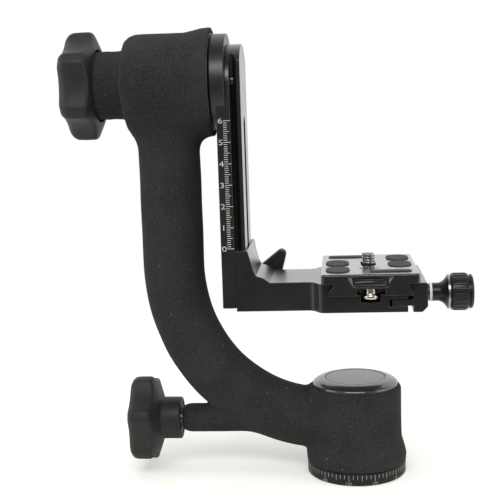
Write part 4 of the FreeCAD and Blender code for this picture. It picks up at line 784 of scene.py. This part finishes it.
def moulded(tree, bsdf, where):
    """Matte moulded plastic, rubbed paler where fingers take hold."""
    cloud = grain(tree, where, 38, 3.0)
    skin = grain(tree, where, 1900, 3.0, 0.5)
    rub = grain(tree, where, 130, 5.0)
    shade = clouded(tree, cloud, (0.015, 0.0155, 0.0155), (0.022, 0.0225, 0.0225))
    shade = blended(tree, ramp(tree, rub, 0.55, 0.75, 0.0, 0.35), shade, (0.036, 0.0365, 0.036))
    tree.links.new(worn_edges(tree, where, shade, (0.05, 0.05, 0.048), 0.5), bsdf.inputs["Base Color"])
    tree.links.new(ramp(tree, rub, 0.35, 0.7, 0.46, 0.60), bsdf.inputs["Roughness"])
    bumped(tree, bsdf, skin, 0.30, 0.00005)


knob_finish = finish_material("knob_rubber", (0.024, 0.024, 0.024), 0.5, moulded, IOR=1.42)


def star_form(material):
    """A star knob: a chain of (along, share of outline, offset) swept round a scalloped outline."""
    tree, size = new_tree("star_form", [
        ("Sides", "Int", 288), ("Rows", "Int", 10), ("Lobes", "Int", 6), ("Tip radius", "Float", 0.0258),
        ("Valley radius", "Float", 0.0217), ("Scallop radius", "Float", 0.0290),
        ("Softness", "Float", 0.0016), ("Turn", "Float", 0.0), ("Axis height", "Float", 0.1938),
        ("Back from", "Float", -0.1275), ("Back radius", "Float", 0.01785), ("Back slope", "Float", 0.3)])
    columns = reckon(tree, "ADD", size["Sides"], 1.0)
    sheet = add(tree, "GeometryNodeMeshGrid", {"Size X": 1.0, "Size Y": 1.0, "Vertices X": columns,
                                               "Vertices Y": size["Rows"]})
    spot = add(tree, "ShaderNodeSeparateXYZ", {0: add(tree, "GeometryNodeInputPosition").outputs[0]})
    share = reckon(tree, "ADD", spot.outputs["X"], 0.5)
    row = reckon(tree, "ROUND", reckon(tree, "MULTIPLY", reckon(tree, "ADD", spot.outputs["Y"], 0.5),
                                       reckon(tree, "SUBTRACT", size["Rows"], 1.0)))
    chain = add(tree, "GeometryNodeSampleIndex", {"Geometry": size["Geometry"], "Index": row},
                data_type="FLOAT_VECTOR", domain="POINT")
    tree.links.new(add(tree, "GeometryNodeInputPosition").outputs[0], chain.inputs["Value"])
    rule = add(tree, "ShaderNodeSeparateXYZ", {0: chain.outputs[0]})
    angle = reckon(tree, "MULTIPLY", share, 2 * math.pi)
    period = reckon(tree, "DIVIDE", 2 * math.pi, size["Lobes"])
    nearest = reckon(tree, "MULTIPLY", period,
                     reckon(tree, "ROUND", reckon(tree, "DIVIDE", angle, period)))
    away = reckon(tree, "ABSOLUTE", reckon(tree, "SUBTRACT", angle, nearest))
    scallop = size["Scallop radius"]
    centre = reckon(tree, "ADD", size["Valley radius"], scallop)
    across = reckon(tree, "MULTIPLY", centre, reckon(tree, "SINE", away))
    within = reckon(tree, "SUBTRACT", reckon(tree, "MULTIPLY", scallop, scallop),
                    reckon(tree, "MULTIPLY", across, across))
    bite = reckon(tree, "SUBTRACT", reckon(tree, "MULTIPLY", centre, reckon(tree, "COSINE", away)),
                  reckon(tree, "SQRT", reckon(tree, "MAXIMUM", within, 0.0)))
    past = reckon(tree, "MAXIMUM", reckon(tree, "SUBTRACT", across, scallop), 0.0)
    bite = reckon(tree, "ADD", bite, reckon(tree, "MULTIPLY", past, 3.0))
    radius = reckon(tree, "SMOOTH_MIN", bite, size["Tip radius"], size["Softness"])
    radius = reckon(tree, "ADD", reckon(tree, "MULTIPLY", rule.outputs["Y"], radius), rule.outputs["Z"])
    beyond = reckon(tree, "MAXIMUM", reckon(tree, "SUBTRACT", radius, size["Back radius"]), 0.0)
    behind = reckon(tree, "GREATER_THAN", rule.outputs["X"], size["Back from"])
    slope = reckon(tree, "MULTIPLY", reckon(tree, "MULTIPLY", beyond, behind), size["Back slope"])
    x = reckon(tree, "SUBTRACT", rule.outputs["X"], slope)
    angle = reckon(tree, "ADD", angle, size["Turn"])
    y = reckon(tree, "MULTIPLY", radius, reckon(tree, "SINE", angle))
    z = reckon(tree, "ADD", reckon(tree, "MULTIPLY", radius, reckon(tree, "COSINE", angle)),
               size["Axis height"])
    swept = add(tree, "GeometryNodeSetPosition", {"Geometry": sheet.outputs["Mesh"],
                                                  "Position": vector(tree, x, y, z)})
    joined = add(tree, "GeometryNodeMergeByDistance", {"Geometry": swept.outputs[0], "Distance": 1e-6})
    smooth = add(tree, "GeometryNodeSetShadeSmooth", {"Geometry": joined.outputs[0]})
    return finished_tree(tree, smooth.outputs[0], material)


def domed(face, reach):
    """The middle of a knob's face, which falls off by a hair towards its reach."""
    return [(face + 0.08 * (r / reach) ** 2, 0, r) for r in np.linspace(0, reach, 6)]


def rounded_back(along, radius):
    """A quarter round on the lobes' outline, from a place along the axis backwards."""
    turns = [math.radians(90 - 90 * step / 6) for step in range(7)]
    return [(along + radius * math.cos(turn), 1, -radius + radius * math.sin(turn)) for turn in turns]


def star_knob(name, chain, values, body, node):
    """A star knob grown from its section chain; (along, share, offset) with lengths in millimetres."""
    mesh = bpy.data.meshes.new(name)
    mesh.from_pydata([(a * MM, share, offset * MM) for a, share, offset in chain], [], [])
    knob = grown(name, star_tree, {"Rows": len(chain), **values}, body, mesh)
    closed_up(knob.data)
    knob.data.shade_smooth()
    knob.data.set_sharp_from_angle(angle=math.radians(50))
    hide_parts(node)
    return knob


star_tree = star_form(knob_finish)
front = [(-136.8, 0.66, 0), (-136.55, 0.74, 0), (-136.2, 0.81, 0), (-135.7, 0.865, 0), (-135.0, 0.91, 0),
         (-134.1, 0.95, 0), (-132.9, 0.98, 0), (-131.6, 0.995, 0)]
tilt_chain = [*domed(-136.98, 11), *front, (-128.5, 1, 0.0), *rounded_back(-122.0, 1.6),
              (-120.4, 0, 17.85), (-120.6, 0, 17.5), (-121.0, 0, 17.3), (-127.0, 0, 17.3),
              (-127.0, 0, 5.1), (-132.9, 0, 5.1), (-132.9, 0, 0)]
star_knob("tilt_star_knob", tilt_chain,
          {"Tip radius": 0.0258, "Valley radius": 0.0217, "Scallop radius": 0.0290, "Softness": 0.0016,
           "Turn": math.radians(30), "Axis height": TILT_AXIS * MM}, "tilt_knob", "tilt_knob")
front = [(-112.15, 0.66, 0), (-112.0, 0.74, 0), (-111.75, 0.81, 0), (-111.35, 0.87, 0),
         (-110.8, 0.915, 0), (-110.1, 0.95, 0), (-109.2, 0.98, 0), (-108.2, 0.995, 0)]
pan_chain = [*domed(-112.28, 10), *front, (-106.0, 1, 0.0), *rounded_back(-98.0, 1.2),
             (-96.8, 0, 11.2), (-96.6, 0, 10.7), (-96.1, 0, 10.45), (-88.0, 0, 10.45), (-87.5, 0, 10.3),
             (-87.2, 0, 9.95), (-87.1, 0, 9.5), (-87.1, 0, 8.6), (-87.5, 0, 8.3), (-87.5, 0, 4.2),
             (-108.9, 0, 4.2), (-108.9, 0, 0)]
star_knob("pan_star_knob", pan_chain,
          {"Tip radius": 0.0224, "Valley radius": 0.0190, "Scallop radius": 0.0250, "Softness": 0.0018,
           "Turn": math.radians(18), "Axis height": LOCK_AXIS * MM, "Back from": -0.1045,
           "Back radius": 0.0112, "Back slope": 0.36}, "pan_knob", "pan_knob")


# ---- Turntable -----------------------------------------------------------------------------------
# The disc that closes the tilt hub and carries the swing arm: turned alloy, black anodised, with a
# slightly smoother face than the milled pieces.

disc_black = finish_material(
    "turntable_black", (0.012, 0.012, 0.013), 0.27,
    satin_black((0.008, 0.0085, 0.0095), (0.012, 0.013, 0.0148), 0.32, 0.40, (0.04, 0.042, 0.045),
                ((0, 0, TILT_AXIS), "X", 0.25)),
    IOR=1.5, Coat_Weight=0.25, Coat_Roughness=0.34)
machined("turntable_disc", "tilt_turntable", "swing", disc_black, 0.45, 3)


# ---- Swing arm with its rule ---------------------------------------------------------------------
# A flat milled arm with a dovetail down both edges and a long stop groove in its face. The edge
# that faces front has an engraved centimetre rule, numbered 0 to 6.

anodised = finish_material(
    "anodised_black", (0.012, 0.012, 0.012), 0.34,
    satin_black((0.006, 0.006, 0.0058), (0.011, 0.011, 0.0102), 0.28, 0.38),
    IOR=1.4, Coat_Weight=0.9, Coat_IOR=1.5, Coat_Roughness=0.25)
mark_paint = finish_material("mark_paint", (0.6, 0.59, 0.54), 0.6, paint_fill)
machined("swing_plate", "swing_arm", "swing", anodised, 0.25)
machined("swing_front_cap", "swing_cap", "swing", anodised, 0.2)

RULE_START, RULE_NUMBERS, RULE_ZERO, RULE_FACE = -59.1, -60.5, 115.5, -19.7


def rule_marks(material):
    """A straight run of marks every millimetre, longer at 5 and 10."""
    tree, size = new_tree("rule_marks", [
        ("Marks", "Int", 61), ("Spacing", "Float", 0.001), ("Start", "Vector", (0.0, 0.0, 0.0)),
        ("Short", "Float", 0.0018), ("Middle", "Float", 0.0026), ("Long", "Float", 0.0033),
        ("Width", "Float", 0.0003), ("Depth", "Float", 0.00008)])
    index = add(tree, "GeometryNodeInputIndex").outputs[0]
    length = mark_length(tree, size, index, 5.0, 10.0)
    line = add(tree, "GeometryNodeMeshLine", {"Count": size["Marks"], "Start Location": size["Start"],
                                              "Offset": vector(tree, 0.0, 0.0, size["Spacing"])})
    box = add(tree, "GeometryNodeMeshCube", {"Size": (1.0, 1.0, 1.0)})
    box = add(tree, "GeometryNodeTransform", {"Geometry": box.outputs["Mesh"],
                                              "Translation": (0.5, 0.0, 0.0)})
    stamped = add(tree, "GeometryNodeInstanceOnPoints", {
        "Points": line.outputs[0], "Instance": box.outputs[0],
        "Scale": vector(tree, length, size["Depth"], size["Width"])})
    return finished_tree(tree, stamped.outputs[0], material)


grown("rule_ticks", rule_marks(mark_paint),
      {"Start": (RULE_START * MM, RULE_FACE * MM, RULE_ZERO * MM)}, "swing")


def on_the_rule(number):
    """A number in front of its centimetre mark."""
    flat, faces = numeral(str(number), 2.5, 1.35)
    height = RULE_ZERO + 10 * number
    return [(RULE_NUMBERS + x, RULE_FACE - depth, height + y) for x, y, depth in flat], faces


numbers = new_piece("rule_numbers", *gathered(map(on_the_rule, range(7))), mark_paint, smooth=False)
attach(numbers, "swing")


# ---- L bracket with its jaws ---------------------------------------------------------------------
# The bracket is milled from one piece of alloy: a short wall that clips on the swing arm's dovetail,
# a flat run, and the clamp body. A loose jaw at the back and one at the clamp's end pull it tight.

machined("l_bracket_body", "l_bracket", "bracket", anodised, 0.3)
machined("rear_dovetail_jaw", "height_jaw", "height_jaw", anodised, 0.3)
machined("clamp_end_jaw", "clamp_jaw", "clamp_jaw", anodised, 0.35)


# ---- Wing knob -----------------------------------------------------------------------------------
# A small three-winged knob of the same matte plastic as the star knobs, moulded with a round hub
# between its wings and the rear jaw, on a steel stud that runs through the jaw.

low, high = (corner / MM for corner in map(Vector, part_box("height_knob")))
KNOB_X, KNOB_Z, WING_THICK = -44.5, 92.75, 7.0
WING_BACK, WING_FRONT, HUB_FRONT = high.y, high.y - WING_THICK, low.y
WINGS, WING_REACH, WING_ROUND, WING_VALLEY, WING_TURN = 3, 17.1, 2.5, 7.4, math.radians(57.0)


def wing_outline(tip_turn=76, tip_steps=9, hollow_turn=14, hollow_steps=5):
    """The winged outline: a round tip on each wing and a soft hollow between them (degrees)."""
    made = []
    for wing in range(WINGS):
        middle = WING_TURN + 2 * math.pi * wing / WINGS
        tip = WING_REACH - WING_ROUND
        for step in range(tip_steps):
            angle = middle + math.radians(-tip_turn + 2 * tip_turn * step / (tip_steps - 1))
            made.append((tip * math.cos(middle) + WING_ROUND * math.cos(angle),
                         tip * math.sin(middle) + WING_ROUND * math.sin(angle)))
        hollow = middle + math.pi / WINGS
        for step in range(hollow_steps):
            angle = hollow + math.radians(-hollow_turn + 2 * hollow_turn * step / (hollow_steps - 1))
            reach = WING_VALLEY + 0.5 * abs(step - 2) / 2
            made.append((reach * math.cos(angle), reach * math.sin(angle)))
    return made


outline = wing_outline()
points = [(KNOB_X + x, y, KNOB_Z + z) for y in (WING_FRONT, WING_BACK) for x, z in outline]
count = len(outline)
faces = [list(range(count)), list(range(2 * count - 1, count - 1, -1))]
faces += [[step, (step + 1) % count, count + (step + 1) % count, count + step] for step in range(count)]
wings = new_piece("wing_knob", points, faces, knob_finish)
eased_edges(wings, 1.1, 4, 50, harden_normals=True)
made_plain(wings)
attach(wings, "height_knob")
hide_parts("height_knob")
WING_HUB = [(HUB_FRONT, 0), (HUB_FRONT, 5.9), (HUB_FRONT + 0.4, 6.4), (HUB_FRONT + 0.9, 6.5),
            (WING_FRONT + 0.6, 6.5), (WING_FRONT + 0.6, 0)]
turned("wing_knob_hub", WING_HUB, (KNOB_X, 0, KNOB_Z), (0, 1, 0), 48, knob_finish, "height_knob")


# ---- Clamp knob ----------------------------------------------------------------------------------
# A round grip on the clamp's screw: turned neck and flare, a bright ring, and a rubbered barrel with
# long pill-shaped ribs between two grooves. A white nylon washer runs against the jaw.

def grip_skin(tree, bsdf, where):
    """Smooth black rubber, a little shiny."""
    cloud = grain(tree, where, 60, 3.0)
    skin = grain(tree, where, 2400, 2.0)
    shade = clouded(tree, cloud, (0.008, 0.008, 0.0082), (0.014, 0.014, 0.0138))
    tree.links.new(worn_edges(tree, where, shade, (0.05, 0.05, 0.048), 0.25), bsdf.inputs["Base Color"])
    tree.links.new(ramp(tree, cloud, 0.3, 0.7, 0.26, 0.36), bsdf.inputs["Roughness"])
    bumped(tree, bsdf, skin, 0.2, 0.00003)


grip_finish = finish_material("grip_rubber", (0.012, 0.012, 0.012), 0.3, grip_skin, IOR=1.45)
CLAMP_AXIS = 89.65
GRIP = [(37.85, 2.5), (37.85, 4.2), (38.0, 4.4), (40.6, 4.4), (41.4, 4.5), (42.2, 4.8), (43.0, 5.35),
        (43.8, 6.1), (44.5, 6.95), (45.0, 7.7), (45.2, 8.0), (45.2, 7.4), (46.8, 7.4), (46.85, 8.3),
        (47.0, 8.7), (47.3, 8.88), (54.5, 8.88), (54.8, 8.7), (54.95, 8.3), (55.0, 7.4), (55.7, 7.4),
        (55.72, 8.0), (55.9, 8.3), (56.5, 8.3), (56.95, 8.1), (57.25, 7.7), (57.4, 7.1), (57.4, 6.3),
        (57.2, 6.1), (57.2, 0), (49.85, 0), (49.85, 2.5)]
turned("clamp_grip", GRIP, (0, 0, CLAMP_AXIS), (1, 0, 0), 96, grip_finish, "clamp_knob",
       ("clamp_knob",))


def grip_ribs(material):
    """Pill-shaped ribs laid lengthwise round a barrel."""
    tree, size = new_tree("grip_ribs", [
        ("Ribs", "Int", 20), ("Barrel radius", "Float", 0.0088), ("Middle", "Float", 0.0509),
        ("Length", "Float", 0.0064), ("Width", "Float", 0.0016), ("Rise", "Float", 0.0004),
        ("Axis height", "Float", 0.08965)])
    index = add(tree, "GeometryNodeInputIndex").outputs[0]
    angle = reckon(tree, "DIVIDE", reckon(tree, "MULTIPLY", index, 2 * math.pi), size["Ribs"])
    y = reckon(tree, "MULTIPLY", size["Barrel radius"], reckon(tree, "SINE", angle))
    z = reckon(tree, "ADD", size["Axis height"],
               reckon(tree, "MULTIPLY", size["Barrel radius"], reckon(tree, "COSINE", angle)))
    points = add(tree, "GeometryNodePoints", {"Count": size["Ribs"],
                                              "Position": vector(tree, size["Middle"], y, z)})
    half = reckon(tree, "DIVIDE", size["Width"], 2.0)
    ball = add(tree, "GeometryNodeMeshUVSphere", {"Segments": 20, "Rings": 12, "Radius": half})
    spot = add(tree, "ShaderNodeSeparateXYZ", {0: add(tree, "GeometryNodeInputPosition").outputs[0]})
    reach = reckon(tree, "SUBTRACT", reckon(tree, "DIVIDE", size["Length"], 2.0), half)
    drawn = reckon(tree, "MULTIPLY", reckon(tree, "SIGN", spot.outputs["X"]), reach)
    pill = add(tree, "GeometryNodeSetPosition", {"Geometry": ball.outputs["Mesh"],
                                                 "Offset": vector(tree, drawn)})
    flat = add(tree, "GeometryNodeTransform", {
        "Geometry": pill.outputs[0],
        "Scale": vector(tree, 1.0, 1.0, reckon(tree, "DIVIDE", size["Rise"], half))})
    smooth = add(tree, "GeometryNodeSetShadeSmooth", {"Geometry": flat.outputs[0]})
    turn = add(tree, "FunctionNodeEulerToRotation",
               {"Euler": vector(tree, reckon(tree, "MULTIPLY", angle, -1.0))})
    stamped = add(tree, "GeometryNodeInstanceOnPoints", {
        "Points": points.outputs[0], "Instance": smooth.outputs[0], "Rotation": turn.outputs[0]})
    return finished_tree(tree, stamped.outputs[0], material)


grown("clamp_grip_ribs", grip_ribs(grip_finish), {"Ribs": 20, "Axis height": CLAMP_AXIS * MM},
      "clamp_knob")


# ---- Quick-release plate -------------------------------------------------------------------------
# A black anodised dovetail plate with six rubber pads let into its top, a slot for the camera screw
# and one for a strap, and a stop screw under each end. Its ends are milled hollow, with a bar across.

PLATE_X, PLATE_TOP, PLATE_END, STOP_PLACE = 7.4, 104.0, 31.0, 27.2
RIM_ROUND, RIM_SIDE, RIM_END = 0.9, 20.4, 28.9


def rolled_rim(work):
    """The plate's top outer edge, rolled over a wider round than its other edges."""
    rim = []
    for edge in work.edges:
        lowest = min(corner.co.z for corner in edge.verts)
        if len(edge.link_faces) != 2 or lowest < (PLATE_TOP - 0.01) * MM:
            continue
        tilts = sorted(abs(face.normal.z) for face in edge.link_faces)
        middle = (edge.verts[0].co + edge.verts[1].co) / 2 / MM
        outer = abs(middle.x - PLATE_X) > RIM_SIDE or abs(middle.y) > RIM_END
        if outer and tilts[0] < 0.3 and tilts[1] > 0.9:
            rim.append(edge)
    bmesh.ops.bevel(work, geom=rim, offset=RIM_ROUND * MM, segments=4, profile=0.5, affect="EDGES",
                    clamp_overlap=True)


def end_block(near, near_outline, far, far_outline):
    """A block between two outlines of (x, z) from the plate's middle, at two places along y."""
    points = [(PLATE_X + x, y, PLATE_TOP + z)
              for y, outline in ((near, near_outline), (far, far_outline)) for x, z in outline]
    sides = len(near_outline)
    faces = [list(range(sides)), list(range(sides, 2 * sides))]
    for side in range(sides):
        after = (side + 1) % sides
        faces.append([side, after, sides + after, sides + side])
    return points, faces


OUTER = [(-11.4, -1.15), (-8.3, -6.0), (8.3, -6.0), (11.4, -1.15)]
INNER = [(-8.6, -1.55), (-7.6, -5.75), (7.6, -5.75), (8.6, -1.55)]
hollows = new_piece("end_hollows", *gathered(
    end_block(side * (PLATE_END + 0.4), OUTER, side * (PLATE_END - 0.9), INNER) for side in (-1, 1)),
    smooth=False)
plate_black = finish_material(
    "plate_black", (0.012, 0.012, 0.012), 0.26,
    satin_black((0.007, 0.007, 0.0067), (0.012, 0.012, 0.0112), 0.22, 0.28),
    IOR=1.45, Coat_Weight=1.0, Coat_IOR=1.5, Coat_Roughness=0.17)
machined("release_plate", "qr_plate", "plate", plate_black, 0.2, 2, rolled_rim, hollows)
BAR = [(-7.5, -3.15), (-7.0, -5.7), (7.0, -5.7), (7.5, -3.15)]
bars = new_piece("plate_end_bars", *gathered(
    end_block(side * (PLATE_END - 0.05), BAR, side * (PLATE_END - 1.2), BAR) for side in (-1, 1)),
    plate_black, smooth=False)
eased_edges(bars, 0.45, 3, 30, harden_normals=True)
made_plain(bars)
bars.data.shade_smooth()
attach(bars, "plate")


def pad_skin(tree, bsdf, where):
    """Pad rubber with a fine grid of dots moulded into it."""
    dots = add(tree, "ShaderNodeTexVoronoi", {"Vector": where, "Scale": 1300, "Randomness": 0.25})
    pit = ramp(tree, dots.outputs["Distance"], 0.15, 0.5)
    cloud = grain(tree, where, 90, 3.0)
    shade = clouded(tree, cloud, (0.040, 0.040, 0.038), (0.056, 0.056, 0.053))
    shade = blended(tree, pit, (0.10, 0.10, 0.095), shade)
    tree.links.new(shade, bsdf.inputs["Base Color"])
    bumped(tree, bsdf, pit, 0.7, 0.0002)


pad_finish = finish_material("pad_rubber", (0.03, 0.03, 0.03), 0.75, pad_skin, IOR=1.4)
machined("plate_grip_pads", "plate_pads", "plate", pad_finish, 0.2)


def metal(name, low, high, rough_low, rough_high, scratch=0.2):
    """Bare, turned metal with fine scratches."""
    def build(tree, bsdf, where):
        smear = grain(tree, where, 240, 4.0)
        fine = grain(tree, where, 3200, 2.0)
        tree.links.new(blended(tree, smear, low, high), bsdf.inputs["Base Color"])
        tree.links.new(ramp(tree, smear, 0.3, 0.7, rough_low, rough_high), bsdf.inputs["Roughness"])
        bumped(tree, bsdf, fine, scratch, 0.00003)
    return finish_material(name, low, rough_low, build, Metallic=1.0)


steel = metal("steel", (0.50, 0.50, 0.49), (0.62, 0.62, 0.60), 0.18, 0.30)
nickel = metal("stop_nickel", (0.62, 0.58, 0.47), (0.74, 0.70, 0.58), 0.16, 0.24, 0.06)
bolt_steel = metal("bolt_steel", (0.34, 0.34, 0.33), (0.46, 0.46, 0.45), 0.18, 0.28, 0.08)
STOP = [(91.9, 0), (91.9, 2.7), (92.1, 3.15), (92.5, 3.45), (93.1, 3.6), (93.7, 3.5), (94.2, 3.15),
        (94.5, 2.85), (94.9, 2.75), (100.4, 2.75), (100.5, 0)]
stops = new_piece("plate_stop_screw_pair", *gathered(
    turned_rings(STOP, (PLATE_X, side * STOP_PLACE, 0), (0, 0, 1), 48) for side in (-1, 1)), nickel)
stops.data.set_sharp_from_angle(angle=math.radians(40))
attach(stops, "plate")
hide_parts("plate_stop_screws")


def screw_thread(material):
    """A helical ridge wound round a screw's core."""
    tree, size = new_tree("screw_thread", [
        ("Turns", "Float", 3.6), ("Core radius", "Float", 0.0027), ("Pitch", "Float", 0.00127),
        ("Ridge", "Float", 0.00052), ("Foot", "Vector", (0.0, 0.0, 0.0))])
    climb = reckon(tree, "MULTIPLY", size["Turns"], size["Pitch"])
    coil = add(tree, "GeometryNodeCurveSpiral", {
        "Resolution": 48, "Rotations": size["Turns"], "Start Radius": size["Core radius"],
        "End Radius": size["Core radius"], "Height": climb})
    edge = add(tree, "GeometryNodeCurvePrimitiveCircle", {"Resolution": 8, "Radius": size["Ridge"]},
               mode="RADIUS")
    wound = add(tree, "GeometryNodeCurveToMesh", {
        "Curve": coil.outputs[0], "Profile Curve": edge.outputs[0], "Fill Caps": True})
    placed = add(tree, "GeometryNodeTransform", {"Geometry": wound.outputs[0],
                                                 "Translation": size["Foot"]})
    smooth = add(tree, "GeometryNodeSetShadeSmooth", {"Geometry": placed.outputs[0]})
    return finished_tree(tree, smooth.outputs[0], material)


low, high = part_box("camera_screw")
screw_x, screw_y, THREAD_FOOT = (low[0] + high[0]) / 2, (low[1] + high[1]) / 2, 104.5 * MM
SCREW = [(98.2, 0), (98.2, 6.3), (98.4, 6.55), (101.0, 6.6), (101.3, 6.4), (101.35, 2.5), (104.2, 2.5),
         (104.3, 2.75), (109.0, 2.75), (109.45, 2.4), (109.58, 1.6), (109.58, 0)]
turned("camera_bolt", SCREW, (screw_x / MM, screw_y / MM, 0), (0, 0, 1), 64, bolt_steel, "camera_screw",
       ("camera_screw",))
grown("camera_bolt_thread", screw_thread(bolt_steel), {"Foot": (screw_x, screw_y, THREAD_FOOT)},
      "camera_screw")


# ---- Bearings, bushes and other pieces left as they are ------------------------------------------
# Inside the sleeve sit the cast arm, four ball bearings and the lock parts. They and the other pieces
# not dressed above keep their exact solids and get the finish of their metal or plastic.

def cast_skin(tree, bsdf, where):
    """The dull, sandy skin of a cast piece."""
    sand = grain(tree, where, 700, 5.0, 0.7)
    cloud = grain(tree, where, 50, 3.0)
    shade = blended(tree, cloud, (0.17, 0.17, 0.18), (0.26, 0.26, 0.265))
    tree.links.new(shade, bsdf.inputs["Base Color"])
    bumped(tree, bsdf, sand, 0.6, 0.0002)


def nylon_skin(tree, bsdf, where):
    """Plain white nylon."""
    cloud = grain(tree, where, 150, 3.0)
    shade = blended(tree, cloud, (0.78, 0.78, 0.755), (0.86, 0.86, 0.84))
    tree.links.new(shade, bsdf.inputs["Base Color"])
    bumped(tree, bsdf, grain(tree, where, 2000, 2.0), 0.2, 0.00003)


finishes = {
    "anodised_black": anodised,
    "hub_disc": disc_finish,
    "cap_rim": cap_finish,
    "cast_alloy": finish_material("cast_alloy", (0.2, 0.2, 0.21), 0.55, cast_skin, Metallic=1.0),
    "sleeve_foam": sleeve_foam,
    "knob_rubber": knob_finish,
    "grip_rubber": grip_finish,
    "pad_rubber": pad_finish,
    "steel": steel,
    "steel_dark": metal("steel_dark", (0.10, 0.10, 0.105), (0.15, 0.15, 0.155), 0.32, 0.45),
    "bearing_steel": metal("bearing_steel", (0.66, 0.66, 0.68), (0.76, 0.76, 0.78), 0.10, 0.18),
    "bush_brass": metal("bush_brass", (0.66, 0.50, 0.24), (0.76, 0.60, 0.32), 0.22, 0.34),
    "white_nylon": finish_material("white_nylon", (0.82, 0.82, 0.8), 0.45, nylon_skin),
    "ring_alloy": metal("ring_alloy", (0.40, 0.40, 0.41), (0.50, 0.50, 0.50), 0.22, 0.34),
    "brake_plastic": finish_material("brake_plastic", (0.3, 0.24, 0.16), 0.6, cast_skin),
}
for entry in frame["record"]["subparts"]:
    for holder in nodes[entry["node"]].material_slots:
        holder.link = "OBJECT"
        holder.material = finishes[entry["material_slot"]]
